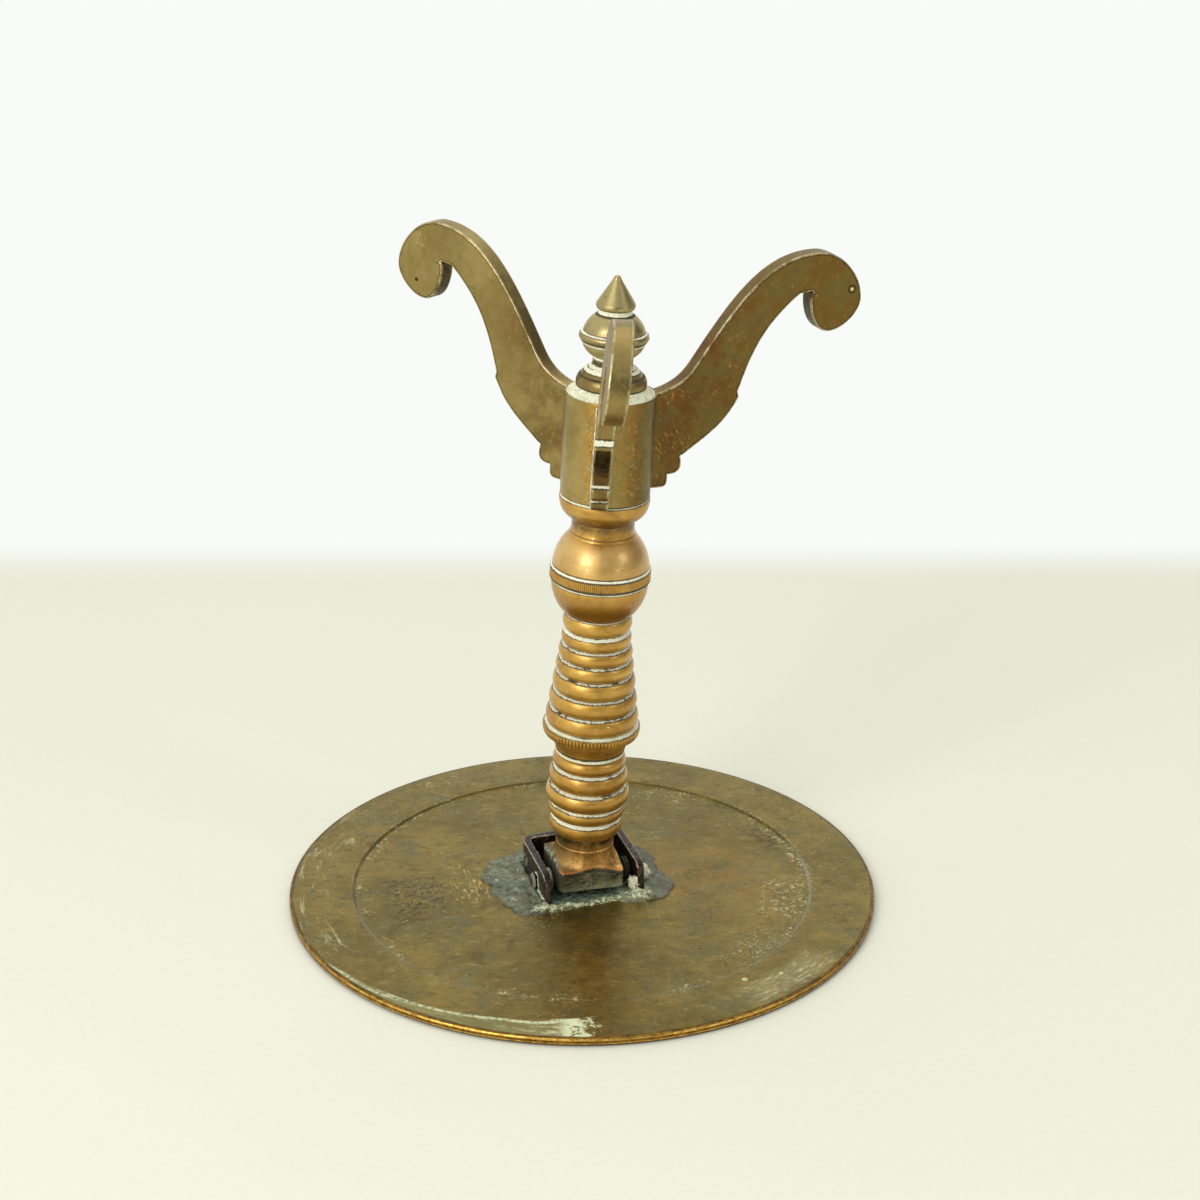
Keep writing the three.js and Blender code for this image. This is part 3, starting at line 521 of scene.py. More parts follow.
def solder_mix():
    s = Shader("solder_mix")
    x = s.axes(s.place)[0]
    grey = s.mix(s.patches((5, 6, 0.65, 0.9), 0.36, 0.64), (86, 90, 70), (126, 130, 102))
    edge = s.span(s.attribute("rim") + s.noise(1.8, 5, 0.7) * 1.4, 2.0, 0.9)
    shore = s.mix(s.patches((2.6, 5, 0.7), 0.42, 0.58), (64, 58, 36), (118, 104, 64))
    grey = s.paint(
        grey,
        (s.patches((1.9, 6, 0.72, 0.6), 0.5, 0.62) * 0.8, (52, 50, 36)),
        (s.patches((2.4, 6, 0.74, 0.8), 0.58, 0.66) * 0.75, (196, 198, 182)),
        (s.patches((4, 5, 0.6, 0.7), 0.52, 0.64) * 0.5, (116, 102, 62)),  # brown
        (edge * 0.85, shore),
        (s.span(x, 8, 16, 0, 0.45), (84, 80, 58)),  # on the right
    )
    teal = s.mix(s.patches((1.8, 6, 0.7, 0.7), 0.36, 0.6), (40, 48, 36), (124, 142, 118))
    teal = s.mix(s.patches((0.9, 6, 0.75), 0.56, 0.68) * 0.8, teal, (182, 194, 166))
    crust = s.mix(s.patches((1.4, 6, 0.72, 0.4), 0.36, 0.6), (142, 150, 108), (232, 232, 192))
    crust = s.mix(s.patches((0.9, 6, 0.75), 0.5, 0.58) * 0.85, crust, (84, 92, 58))
    in_teal = s.span(s.attribute("teal") + s.noise(1.5, 5, 0.7) * 0.5, 0.6, 0.85)
    ragged = (s.noise(1.1, 6, 0.75) + s.noise(3.1, 4, 0.6) * 0.8 - 0.9) * 2.4
    in_crust = s.span(s.attribute("crust") + ragged, 0.4, 0.7)
    in_crust = s.most(in_crust, s.attribute("crust") * s.span(x, 4, 9, 0, 0.8))
    colour = s.mix(in_crust, s.mix(in_teal, grey, teal), crust)
    bare = s.clamped(1 - s.most(in_crust, in_teal))
    rough = 0.82 - bare * s.patches((2.4, 5, 0.7), 0.3, 0.7, 0.3, 0.56)
    height = s.noise(3.4, 6, 0.6, 0.3) + s.noise(0.8, 5, 0.7) * in_crust
    return finish_metal(s, colour, rough, bare * 0.6, height, 0.5, 0.02)


def chalk(name, low, high, dark):
    """Dry residue: polish, verdigris or flux."""
    s = Shader(name)
    colour = s.mix(s.patches((0.9, 6, 0.72, 0.4), 0.36, 0.62), low, high)
    colour = s.mix(s.patches((0.6, 6, 0.75), 0.6, 0.72) * 0.8, colour, dark)
    return s.set(Base_Color=colour, Roughness=0.88, Normal=s.bump(s.noise(0.5, 6, 0.7), 0.12))


MATERIALS = {
    "stem_brass": stem_brass(),
    "leg_brass": leg_brass(),
    "patinated_bronze": disc_bronze(),
    "dark_iron": dark_iron(),
    "foot_copper": foot_copper(),
    "soft_solder": solder_mix(),
}
RESIDUE = chalk("residue", (210, 206, 166), (248, 246, 222), (116, 104, 66))
VERDIGRIS = chalk("verdigris", (134, 150, 122), (206, 212, 184), (70, 76, 54))
DARK_VERDIGRIS = chalk("dark_verdigris", (30, 32, 24), (74, 80, 62), (24, 22, 16))


# Mesh building, in millimetres

def add_piece(name, points, faces, slot, body, matrix=None, nodes=(), material=None, values=None):
    """One mesh that rides on a body and replaces the nodes. values are its own vertex attributes."""
    mesh = bpy.data.meshes.new(name)
    mesh.from_pydata((np.asarray(points, float) * MM).tolist(), [], faces)
    mesh.polygons.foreach_set("use_smooth", [True] * len(mesh.polygons))
    data = dict.fromkeys(("groove", "dirt_and_shade"), np.full(len(points), FAR))
    data |= dict.fromkeys(("edge", "grime_and_shade", "shade_tone", "flank", "highlight_mottle"), np.zeros(len(points)))
    for key, numbers in (data | (values or {})).items():
        mesh.attributes.new(key, "FLOAT", "POINT").data.foreach_set("value", np.asarray(numbers, np.float32))
    mesh.materials.append(material or MATERIALS[slot])
    piece = bpy.data.objects.new(name, mesh)
    bpy.context.scene.collection.objects.link(piece)
    if matrix:
        piece.matrix_world = matrix
    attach(piece, body)
    if nodes:
        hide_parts(*nodes)
    return piece


def clamp(value):
    """The value, held between 0 and 1."""
    return max(0, min(1, value))


def turns(count):
    """Evenly spaced directions all the way round, in radians."""
    return [2 * math.pi * k / count for k in range(count)]


def arc(radius, height, rx, rz, start, end, steps):
    """Points of an elliptic arc, from one angle to another in degrees."""
    angles = np.radians(np.linspace(start, end, steps + 1))
    return [(radius + rx * math.cos(a), height + rz * math.sin(a)) for a in angles]


def dense(profile, step):
    """The profile with more points, none further apart than step."""
    made = [profile[0]]
    for a, b in zip(profile, profile[1:]):
        count = max(1, math.ceil(math.dist(a, b) / step))
        made += [(a[0] + (b[0] - a[0]) * k / count, a[1] + (b[1] - a[1]) * k / count)
                 for k in range(1, count + 1)]
    return made


def grid_faces(rows, columns):
    """Faces between rings of points."""
    return [(i * columns + j, i * columns + (j + 1) % columns, (i + 1) * columns + (j + 1) % columns,
             (i + 1) * columns + j) for i in range(rows - 1) for j in range(columns)]


def closed_faces(rows, columns):
    """Faces between rings of points, with both ends filled."""
    last = (rows - 1) * columns
    return grid_faces(rows, columns) + [tuple(range(columns))[::-1], tuple(range(last, last + columns))]


def lathe(name, profile, sides, slot, grooves=(), knurls=(), nodes=(), step=0.22, dirt_and_shade=(), grime_and_shade=None,
          shade_tone=None):
    """A turned piece of the stand. Grooves are (radius, height, half width) of rings of pale residue, and the
    rings of dark lines, painted shade with some soil, are given the same way. Knurls are (low, high, teeth,
    depth) of straight knurled bands."""
    rings = np.array(dense(profile, step))
    angles = np.array(turns(sides))
    radius = np.repeat(rings[:, :1], sides, axis=1)
    soil_and_shade = np.zeros_like(radius)
    for low, high, teeth, depth in knurls:
        inside = (rings[:, 1] > low) & (rings[:, 1] < high)
        tooth = np.abs((angles * teeth / (2 * math.pi)) % 1 - 0.5) * 2
        gap = 1 - np.clip(tooth * 1.7, 0, 1)
        radius[inside] -= depth * gap
        # Painted shade in the knurls' gaps
        soil_and_shade[inside] = 0.75 * gap ** 2
    seed = sum(map(ord, name))
    wave = np.array([[noise.noise((math.cos(a) * 1.5 + seed, math.sin(a) * 1.5, z * 0.12)) for a in angles]
                     for z in rings[:, 1]])
    radius = np.where(radius > 3, radius + 0.02 * wave, radius)
    heights = np.repeat(rings[:, 1:], sides, axis=1)
    points = np.stack([radius * np.cos(angles), radius * np.sin(angles), heights], axis=2).reshape(-1, 3)

    def nearest(places):
        near = np.full(len(rings), FAR)
        for ring_radius, height, half in places:
            near = np.minimum(near, np.hypot(rings[:, 0] - ring_radius, rings[:, 1] - height) / half)
        return np.repeat(near, sides)

    # Painted shade in a band between two heights
    if grime_and_shade:
        low, high = grime_and_shade
        soil_and_shade += np.clip(np.minimum(rings[:, 1:] - low, high - rings[:, 1:]) / 1.8 + 0.4, 0, 1)
    values = {"groove": nearest(grooves), "dirt_and_shade": nearest(dirt_and_shade), "grime_and_shade": soil_and_shade.ravel()}
    if shade_tone:
        values["shade_tone"] = np.array([shade_tone(math.degrees(a)) for a in angles] * len(rings))
    return add_piece(name, points, grid_faces(len(rings), sides), slot, "stand", STAND, nodes, values=values)


def ribs_profile(ribs, foot, depth=0.95, pale=0.4):
    """Full round ribs. Pale residue lies on each rib's upper shoulder; dark lines of painted shade with some
    soil run in the groove above it and just below it.
    """
    profile, grooves, dirt_and_shade, base = [], [], [], foot
    filled = [min(a[1], b[1]) - depth * 0.62 for a, b in zip(ribs, ribs[1:])]
    edges = np.cumsum([foot] + [h for h, _ in ribs])[1:-1]
    for height, radius in ribs:
        for angle in np.radians(np.linspace(-90, 90, 33)):
            r, z = radius - depth + depth * math.cos(angle), base + height / 2 * (1 + math.sin(angle))
            for edge, limit in zip(edges, filled):
                if edge - 0.8 < z < edge + 0.12:
                    r = max(r, limit)
            profile.append((r, z))
        base += height
    for edge, limit in zip(edges, filled):
        grooves.append((limit + 0.16, edge - 0.36, pale))
        dirt_and_shade.append((limit, edge + 0.22, 0.4))
        dirt_and_shade.append((limit + 0.4, edge - 0.5 - pale, 0.2))
    return profile, grooves, dirt_and_shade


def tube(name, path, radius, body, slot, matrix, material, ragged, seed=0.0):
    """A thin, uneven bead of residue along a path."""
    path, sides = [Vector(p) for p in path], 8
    points = []
    for i, p in enumerate(path):
        along = (path[min(i + 1, len(path) - 1)] - path[max(i - 1, 0)]).normalized()
        side = along.orthogonal().normalized()
        other = along.cross(side)
        taper = min(1, (min(i, len(path) - 1 - i) + 0.15) / 2)
        for k, a in enumerate(turns(sides)):
            lump = 1 + ragged * noise.noise((p.x * 0.9 + seed, p.y * 0.9, p.z * 0.9 + k * 0.35))
            points.append(p + (side * math.cos(a) + other * math.sin(a)) * radius * taper * lump)
    add_piece(name, points, closed_faces(len(path), sides), slot, body, matrix, (), material)


def blob(name, centre, radii, ragged):
    """A lump of crust on the solder."""
    rows, columns = 28, 40
    points = []
    for i in range(rows + 1):
        polar = math.pi * i / rows
        for a in turns(columns):
            d = Vector((math.sin(polar) * math.cos(a), math.sin(polar) * math.sin(a), math.cos(polar)))
            lump = 1 + ragged * noise.fractal(d * 1.4 + Vector(centre), 1.0, 2.0, 4)
            points.append(Vector(centre) + d * Vector(radii) * lump)
    add_piece(name, points, grid_faces(rows + 1, columns), "soft_solder", "reflector", material=RESIDUE)


# Reflector body

def make_disc():
    r, top, field, chamfer = DISC["radius"], DISC["top"], DISC["field_radius"], DISC["chamfer"]
    edge = r - chamfer
    profile = [(0.01, 0), (edge - 0.3, 0)] + arc(edge, chamfer, chamfer - 0.02, chamfer, -90, 0, 5)
    profile += arc(edge, top - chamfer, chamfer - 0.02, chamfer, 0, 62, 4)
    profile += [(edge + 0.1, top - 0.04), (edge - 0.15, top), (field + 0.3, top), (field + 0.05, top - 0.05),
                (field - 0.1, top - 0.2), (field - 0.45, FIELD + 0.12), (field - 0.7, FIELD + 0.02),
                (field - 1.2, FIELD), (0.01, FIELD)]
    rings = np.array(dense(profile, 1.6))
    sides = 288
    points = []
    for radius, z in rings:
        for a in turns(sides):
            x, y = radius * math.cos(a), radius * math.sin(a)
            dent = 0.05 * noise.noise((x * 0.05, y * 0.05, 3.1)) + 0.02 * noise.noise((x * 0.2, y * 0.2, 7.7))
            points.append((x, y, z + dent if z >= FIELD and radius < edge - 0.5 else z))
    add_piece("disc_fine", points, grid_faces(len(rings), sides), "patinated_bronze", "reflector",
              nodes=["reflector_disc"])


def bracket_path():
    """Stations along the middle of the strap: (point, outward direction, distance from the front end)."""
    left, right, back = EAR_LEFT + STRAP / 2, EAR_RIGHT - STRAP / 2, EAR_BACK - STRAP / 2
    turn_y = EAR_BACK - BEND
    ease = [0, 0.12, 0.3, 0.55, 0.9, 1.35, 1.9, 2.5, 3.2]
    ear = [EAR_FRONT + e for e in ease] + list(np.linspace(EAR_FRONT + 4.2, turn_y, 22))

    def corner(x, angles):
        bend = BEND - STRAP / 2
        outs = [(math.cos(a), math.sin(a)) for a in np.radians(angles)[1:-1]]
        return [((x + bend * ox, turn_y + bend * oy), (ox, oy), FAR) for ox, oy in outs]

    stations = [((left, y), (-1, 0), y - EAR_FRONT) for y in ear]
    stations += corner(EAR_LEFT + BEND, np.linspace(180, 90, 10))
    stations += [((x, back), (0, 1), FAR) for x in np.linspace(EAR_LEFT + BEND, EAR_RIGHT - BEND, 24)]
    stations += corner(EAR_RIGHT - BEND, np.linspace(90, 0, 10))
    stations += [((right, y), (1, 0), y - EAR_FRONT) for y in reversed(ear)]
    return stations


def make_bracket():
    """The forged strap: a rounded section swept along the U, uneven all over."""
    points, edge, stations, rounding = [], [], bracket_path(), 0.42
    for (x, y), (ox, oy), inwards in stations:
        share = (EAR_BACK - y) / (EAR_BACK - EAR_FRONT)
        top = FIELD + BRACKET_HEIGHT + 0.4 - (EAR_DROP + 0.3) * share
        if inwards < EAR_CORNER:
            top -= EAR_CORNER - math.sqrt(max(0, EAR_CORNER ** 2 - (EAR_CORNER - inwards) ** 2))
        half = STRAP / 2 - max(0, 1 - inwards / 0.55) * 0.35
        low = FIELD - 0.1
        section = []
        for cx, cz, start in ((half, top, 0), (-half, top, 90), (-half, low, 180), (half, low, 270)):
            sx, sz = (1 if cx > 0 else -1), (1 if cz == top else -1)
            for a in np.radians(np.linspace(start, start + 90, 5)):
                sharp = max(0, 1 - abs(math.degrees(a) - start - 45) / 30)
                section.append((cx - sx * rounding + rounding * math.cos(a),
                                cz - sz * rounding + rounding * math.sin(a), sharp if cz == top else 0.0))
        wide = []
        for (t0, z0, e0), (t1, z1, e1) in zip(section, section[1:] + section[:1]):
            count = max(1, int(math.dist((t0, z0), (t1, z1)) / 0.7))
            count = 12 if count > 3 else (2 if count > 1 else 1)
            for k in range(count):
                f = k / count
                wide.append((t0 + (t1 - t0) * f, z0 + (z1 - z0) * f,
                             (e0 + (e1 - e0) * f) * (1 if count < 3 else max(0, 1 - 4 * min(f, 1 - f)))))
        for t, z, e in wide:
            p = Vector((x + ox * t, y + oy * t, z))
            rough = 0.16 * noise.fractal(p * 0.45, 1.0, 2.0, 5) + 0.05 * noise.noise(p * 2.1)
            points.append(p + Vector((ox, oy, 0)) * rough * (1 if t > 0 else -1)
                          + Vector((0, 0, 0.6 * rough if z > top - 1 else 0)))
            # The edge attribute marks the top corners and the front ends for a painted highlight
            edge.append(max(e, 0.5 if inwards < 0.3 else 0))
    faces = closed_faces(len(stations), len(points) // len(stations))
    add_piece("bracket_fine", points, faces, "dark_iron", "reflector", nodes=["hinge_bracket"],
              values={"edge": edge})


def make_pin():
    half = (EAR_RIGHT - EAR_LEFT) / 2 + 0.1
    middle = (EAR_RIGHT + EAR_LEFT) / 2
    radius, neck, head, stand_off, rise = 1.35, 1.8, 2.3, 0.5, 0.95
    dome = [(neck, half), (neck, half + stand_off)] + arc(0, half + stand_off + 0.1, head, rise, 0, 90, 10)
    profile = [(r, -z) for r, z in dome][::-1] + [(radius, -half), (radius, half)] + dome
    rings = np.array(dense(profile, 0.5))
    rings[:, 0] = np.maximum(rings[:, 0], 0.01)
    sides = 40
    points = []
    for r, z in rings:
        for a in turns(sides):
            lump = 1 + 0.05 * noise.noise((z, math.cos(a) * 1.5, math.sin(a) * 1.5))
            points.append((middle + z, PIN.y + r * lump * math.sin(a), PIN.z + r * lump * math.cos(a)))
    # Painted highlight on the rim of each head
    on_rim = (np.abs(rings[:, 1]) > half + stand_off) & (rings[:, 0] > 1.5)
    rim_highlight = np.repeat(np.where(on_rim, 0.45, 0.05), sides)
    add_piece("pin_fine", points, grid_faces(len(rings), sides), "dark_iron", "reflector",
              nodes=["hinge_pin"], values={"edge": rim_highlight})


# The middle of the bracket, and the solder's outline round it
MIDDLE_X, MIDDLE_Y = 0.45, 1.8
SOLDER_EDGE = [(22.3, -0.2), (23.3, 7), (22.0, 13.8), (17, 17.5), (8, 17.6), (0, 18.6), (-6, 21.5),
               (-12, 22.6), (-18.2, 20.2), (-23.6, 15.2), (-26.4, 11.0), (-26.0, 6.3), (-25.0, 1),
               (-25.6, -4.1), (-24.6, -9.3), (-20.3, -14.6), (-14.6, -14.2), (-10.6, -14.1), (-5, -14.1),
               (1, -13.4), (7, -13.4), (8.6, -16.0), (13.6, -15.2), (19.6, -15.4), (23.2, -10.3)]


def solder_reach(angle):
    """Distance of the solder's edge from its middle, in a direction."""
    away = [(x - MIDDLE_X, y - MIDDLE_Y) for x, y in SOLDER_EDGE]
    directions = [math.atan2(y, x) for x, y in away]
    return np.interp(angle, directions, [math.hypot(x, y) for x, y in away], period=2 * math.pi)


def make_solder():
    rings, sides = 60, 300
    points, teal, crust, rim = [], [], [], []
    for i in range(rings + 1):
        share = (i / rings) ** 0.8
        for a in turns(sides):
            a -= math.pi
            reach = np.mean([solder_reach(a + d) for d in (-0.05, 0, 0.05)])
            reach *= 1 + sum(depth * noise.noise((math.cos(a) * wave, math.sin(a) * wave, 0.5))
                             for depth, wave in ((0.06, 4), (0.045, 11), (0.02, 27)))
            x, y = MIDDLE_X + math.cos(a) * reach * share, MIDDLE_Y + math.sin(a) * reach * share
            wall = max(EAR_LEFT - x, x - EAR_RIGHT, y - EAR_BACK)
            inside = wall < 0
            from_edge = reach * (1 - share)
            lip = min(1, from_edge / 0.5) ** 0.5
            lumps = noise.fractal((x * 0.16, y * 0.16, 1.7), 1.0, 2.0, 5)
            height = 0.16 + 0.05 * lumps if inside else 0.34 + 0.14 * lumps + 1.3 * math.exp(-wall / 0.9)
            ridge_y = -12.6 + 0.5 * math.sin(x * 0.35) + 0.8 * noise.noise((x * 0.4, 0.3, 0.9))
            along = clamp((x + 19.5) / 3) * clamp((16.8 - x) / 2)
            wide = 1.7 + 0.6 * noise.noise((x * 0.3, 4.1, 0.2)) + 0.5 * clamp((x - 4) / 8)
            ridge = math.exp(-((y - ridge_y) / wide) ** 2) * along
            heap = noise.fractal((x * 0.55, y * 0.55, 5.0), 1.0, 2.0, 5)
            height += ridge * (0.7 + 0.7 * heap)
            near_ear = math.exp(-(((x - 12.2) / 2.3) ** 2 + ((y + 11.2) / 2.2) ** 2))
            height += near_ear * (1.2 + 0.6 * heap)
            crust.append(min(1, 0.92 * ridge + 1.1 * near_ear + 0.45 * heap * ridge
                             + 0.4 * math.exp(-(((x + 15.5) / 3.2) ** 2 + ((y + 12.6) / 1.8) ** 2))))
            teal.append(1.0 if inside and y > -13 else max(0, 1 - abs(y + 11.6) / 3.0) * along)
            rim.append(from_edge)
            points.append((x, y, FIELD - 0.02 + height * lip))
    add_piece("solder_fine", points, grid_faces(rings + 1, sides), "soft_solder", "reflector",
              nodes=["solder_pool"], values={"teal": teal, "crust": crust, "rim": rim})


# Stand body

def bell_radius(height, corner):
    """Outside radius of the foot's bell at a height, from the block's corners up to the neck."""
    curve = [(10.7, corner), (10.75, corner - 1.2), (10.85, corner - 2.3), (11.05, 9.8), (11.3, 9.25),
             (11.7, 8.85), (12.3, 8.5), (13.2, 8.2), (14.2, 7.98), (15.0, 7.88), (15.9, 7.88), (16.05, 7.72),
             (16.2, 7.66), (16.35, 7.74), (16.5, 7.9), (19.2, 7.9)]
    return float(np.interp(height, [h for h, _ in curve], [r for _, r in curve]))


def make_foot():
    corner = math.hypot(2 * BLOCK_HALF[0], 2 * BLOCK_HALF[1]) / 2 + 0.3
    sides, on_face, on_bell = 400, 22, 70
    points, face, lip, grime_and_shade, groove = [], [], [], [], []
    power = 16
    fine = np.linspace(10.7, 15.0, 400)
    radii = np.array([bell_radius(h, corner) for h in fine])
    for a in turns(sides):
        square = abs(math.cos(a) / BLOCK_HALF[0]) ** power + abs(math.sin(a) / BLOCK_HALF[1]) ** power
        square **= -1 / power
        arch = float(np.interp(-square, -radii, fine))
        worn_corner = math.exp(-((a - 1.76 * math.pi) / 0.24) ** 2)
        column = [(r, z, 1, FAR) for r, z in
                  ((0.02, SHOULDER), (square * 0.9, SHOULDER), (square - 0.15, SHOULDER + 0.02))]
        for z in np.linspace(SHOULDER + 0.15, arch - 0.06, on_face):
            column.append((square, z, 1, arch - z))
        for z in arch + (FOOT_TOP - arch) * np.linspace(0, 1, on_bell) ** 1.3:
            r = bell_radius(z, corner)
            column.append((min(r, square - 0.04) if z < arch + 0.05 else r, z, 0, z - arch))
        column.append((BORE, FOOT_TOP, 0, FAR))
        for r, z, f, d in column:
            p = Vector((r * math.cos(a), r * math.sin(a), z))
            rough = (0.09 if f else 0.02) * noise.fractal(p * 0.5, 1.0, 2.0, 4)
            drop = 0.95 * worn_corner * max(0, 1 - abs(z - arch) / (5.2 if z < arch else 2.6))
            points.append((p.x * (1 + rough / max(r, 1)), p.y * (1 + rough / max(r, 1)), z - drop))
            front = clamp((-p.y - 4) / 4)
            face.append(f)
            lip.append(max(0, 1 - d / (0.26 if f else 0.16)) * front)
            # Painted shade in a band just under the arch
            grime_and_shade.append(max(0, 1 - abs(d - 1.0) / 0.8) if f else 0)
            groove.append(min(FAR, math.hypot(r - 7.7, z - FOOT_TOP) / 0.25))
    rows = len(points) // sides
    faces = [(j * rows + i, ((j + 1) % sides) * rows + i, ((j + 1) % sides) * rows + i + 1, j * rows + i + 1)
             for j in range(sides) for i in range(rows - 1)]
    add_piece("foot_fine", points, faces, "foot_copper", "stand", STAND, ["foot_block"],
              values={"face": face, "lip": lip, "grime_and_shade": grime_and_shade, "groove": groove})
    knuckle, steps, sides = [], np.linspace(-8.95, 8.95, 40), 48
    for x in steps:
        r = 3 - max(0, abs(x) - 8.6) * 0.6
        knuckle += [(x, r * math.sin(a), PIN.z + r * math.cos(a)) for a in turns(sides)]
    add_piece("knuckle_fine", knuckle, closed_faces(len(steps), sides), "foot_copper", "stand", STAND,
              values={"face": np.ones(len(knuckle)), "lip": np.zeros(len(knuckle))})


def make_stem():
    foot = LOWER_GRIP_FOOT
    profile, grooves, dirt_and_shade = ribs_profile(LOWER_RIBS, foot, 1.6, 0.64)
    profile = [(BORE, foot)] + profile + [(BORE, profile[-1][1])]
    lathe("lower_grip_fine", profile, 180, "stem_brass", grooves, nodes=["lower_grip"], dirt_and_shade=dirt_and_shade)

    profile = [(BORE, 42.98), (8.9, 43.0), (9.2, 43.15), (9.3, 44.2), (9.6, 45.4), (10.1, 46.6), (10.8, 47.7),
               (11.2, 48.2), (11.5, 48.55), (12.15, 48.65), (12.6, 49.0), (12.85, 49.6), (12.98, 50.4),
               (12.96, 51.2), (12.8, 51.42), (12.5, 51.5), (BORE, 51.5)]
    lathe("knurled_ring_fine", profile, RING_TEETH * 10, "stem_brass", [(9.2, 43.5, 0.55), (12.1, 51.6, 0.5)],
          [(48.95, 51.25, RING_TEETH, 0.42)], ["knurled_ring"], 0.2,
          dirt_and_shade=[(9.35, 44.35, 0.4), (11.5, 48.6, 0.4), (12.98, 51.3, 0.12)])

    foot = UPPER_GRIP_FOOT
    profile, grooves, dirt_and_shade = ribs_profile(UPPER_RIBS, foot, 1.35, 0.5)
    profile = [(BORE, foot), (11.9, foot + 0.02), (11.9, foot + 0.2)] + profile[4:] + [(BORE, profile[-1][1])]
    lathe("upper_grip_fine", profile, 180, "stem_brass",
          grooves + [(11.9, foot + 0.2, 0.42), (8.4, 83.5, 0.4)], nodes=["upper_grip"],
          dirt_and_shade=dirt_and_shade + [(11.75, foot + 0.85, 0.25)])

    radius, low, high, belt, belt_top = 12.65, 92.6, 96.1, 93.0, 96.5
    profile = [(BORE, 83.62), (8.9, 83.65)] + arc(0, low, radius, radius, -44.4, 1.6, 26)
    profile += [(13.0, belt + 0.15), (13.1, belt + 0.35), (13.1, belt_top - 0.35), (13.0, belt_top - 0.15)]
    profile += arc(0, high, radius, radius, 2.1, 45.8, 26) + [(8.75, 105.2), (BORE, 105.2)]
    lathe("ball_fine", profile, BELT_TEETH * 6, "stem_brass",
          [(12.72, belt - 0.02, 0.34), (12.72, belt_top + 0.06, 0.34)],
          [(belt + 0.5, belt_top - 0.45, BELT_TEETH, 0.3)], ["stem_ball"], 0.3,
          dirt_and_shade=[(13.08, belt + 0.4, 0.42), (13.05, belt_top - 0.3, 0.3), (12.6, belt_top + 0.5, 0.24),
                (9.2, 83.95, 0.35)])

    profile = [(BORE, 105.15), (8.75, 105.15), (8.8, 105.35), (8.6, 105.8), (8.35, 106.0), (8.35, 106.2),
               (8.15, 107), (8.1, 108), (8.15, 109), (8.1, 109.45), (8.25, 109.6), (8.56, 110.0),
               (9.15, 110.35), (9.75, 110.85), (10.4, 111.45), (10.95, 112.2), (11.3, 113.0), (11.5, 113.8),
               (11.7, 114.85), (11.6, 115.6), (11.3, 116.0), (BORE, 116.0)]
    # The waist of the neck takes a band of painted shade
    lathe("neck_fine", profile, 180, "stem_brass", [(11.3, 116.05, 0.34)],
          nodes=["neck_ring"], dirt_and_shade=[(8.35, 106.1, 0.12), (8.2, 109.5, 0.1), (11.55, 115.75, 0.18)],
          grime_and_shade=(107.4, 112.4))


def make_collar():
    foot, top, low_radius, radius = COLLAR_FOOT, COLLAR_TOP, 11.5, 11.65
    profile = [(BORE, foot), (low_radius - 0.25, foot), (low_radius, foot + 0.2), (low_radius, foot + 0.5)]
    profile += arc(radius - 0.22, top - 0.22, 0.22, 0.22, 0, 90, 5)
    profile += [(radius - 0.5, top - 0.1), (radius - 0.8, top - 0.4), (BORE, top - 0.5)]
    # Painted shade on the collar's right side
    piece = lathe("collar_fine", profile, 200, "leg_brass", [(low_radius - 0.2, foot + 0.02, 0.36)],
                  nodes=["collar"], step=0.3, shade_tone=lambda turn: 0.95 if -100 < turn < 20 else 0.0)
    groove, dirt_and_shade = piece.data.attributes["groove"].data, piece.data.attributes["dirt_and_shade"].data
    for v, pale, dark in zip(piece.data.vertices, groove, dirt_and_shade):
        turn = math.degrees(math.atan2(v.co.y, v.co.x))
        if -104 < turn < 20 and v.co.z < (foot + 2) * MM:
            dark.value, pale.value = pale.value, FAR
        # Two bands of painted highlight where the lamps' highlights fall on the collar
        highlight_mottle = math.exp(-((turn + 131) / 12) ** 2) + math.exp(-((turn + 74) / 17) ** 2)
        piece.data.attributes["highlight_mottle"].data[v.index].value = highlight_mottle
        # Painted shade on the collar's right side
        shade = clamp((turn + 98) / 30) if turn < 60 else 0
        piece.data.attributes["grime_and_shade"].data[v.index].value = 0.55 * shade
    rings = dense([(6.5, 142.6), (8.2, 145.0), (8.7, 144.85), (9.4, 144.2), (10.1, 143.75), (10.8, 143.4),
                   (11.1, 143.15), (11.3, 142.6)], 0.25)
    points = []
    for r, z in rings:
        for a in turns(160):
            p = Vector((r * math.cos(a), r * math.sin(a), z))
            lump = 0.24 * noise.fractal(p * 0.55, 1.0, 2.0, 5) + 0.07 * noise.noise(p * 3.1)
            points.append(p + Vector((0, 0, lump if 8 < r < 11.2 else 0)))
    add_piece("dish_residue", points, grid_faces(len(rings), 160), "leg_brass", "stand", STAND,
              material=RESIDUE)


def bezier(a, b, c, d, steps=18):
    """Points of a cubic curve after its first one."""
    a, b, c, d = map(np.array, (a, b, c, d))
    return [tuple((1 - t) ** 3 * a + 3 * (1 - t) ** 2 * t * b + 3 * (1 - t) * t * t * c + t ** 3 * d)
            for t in np.linspace(0, 1, steps + 1)[1:]]


def at(out, up):
    """A place in the leg's plane, as shares of its reach and of its height."""
    return LEG_SEAT + out * (LEG_REACH - LEG_SEAT), ROOT_FOOT + up * (LEG_CROWN - ROOT_FOOT)


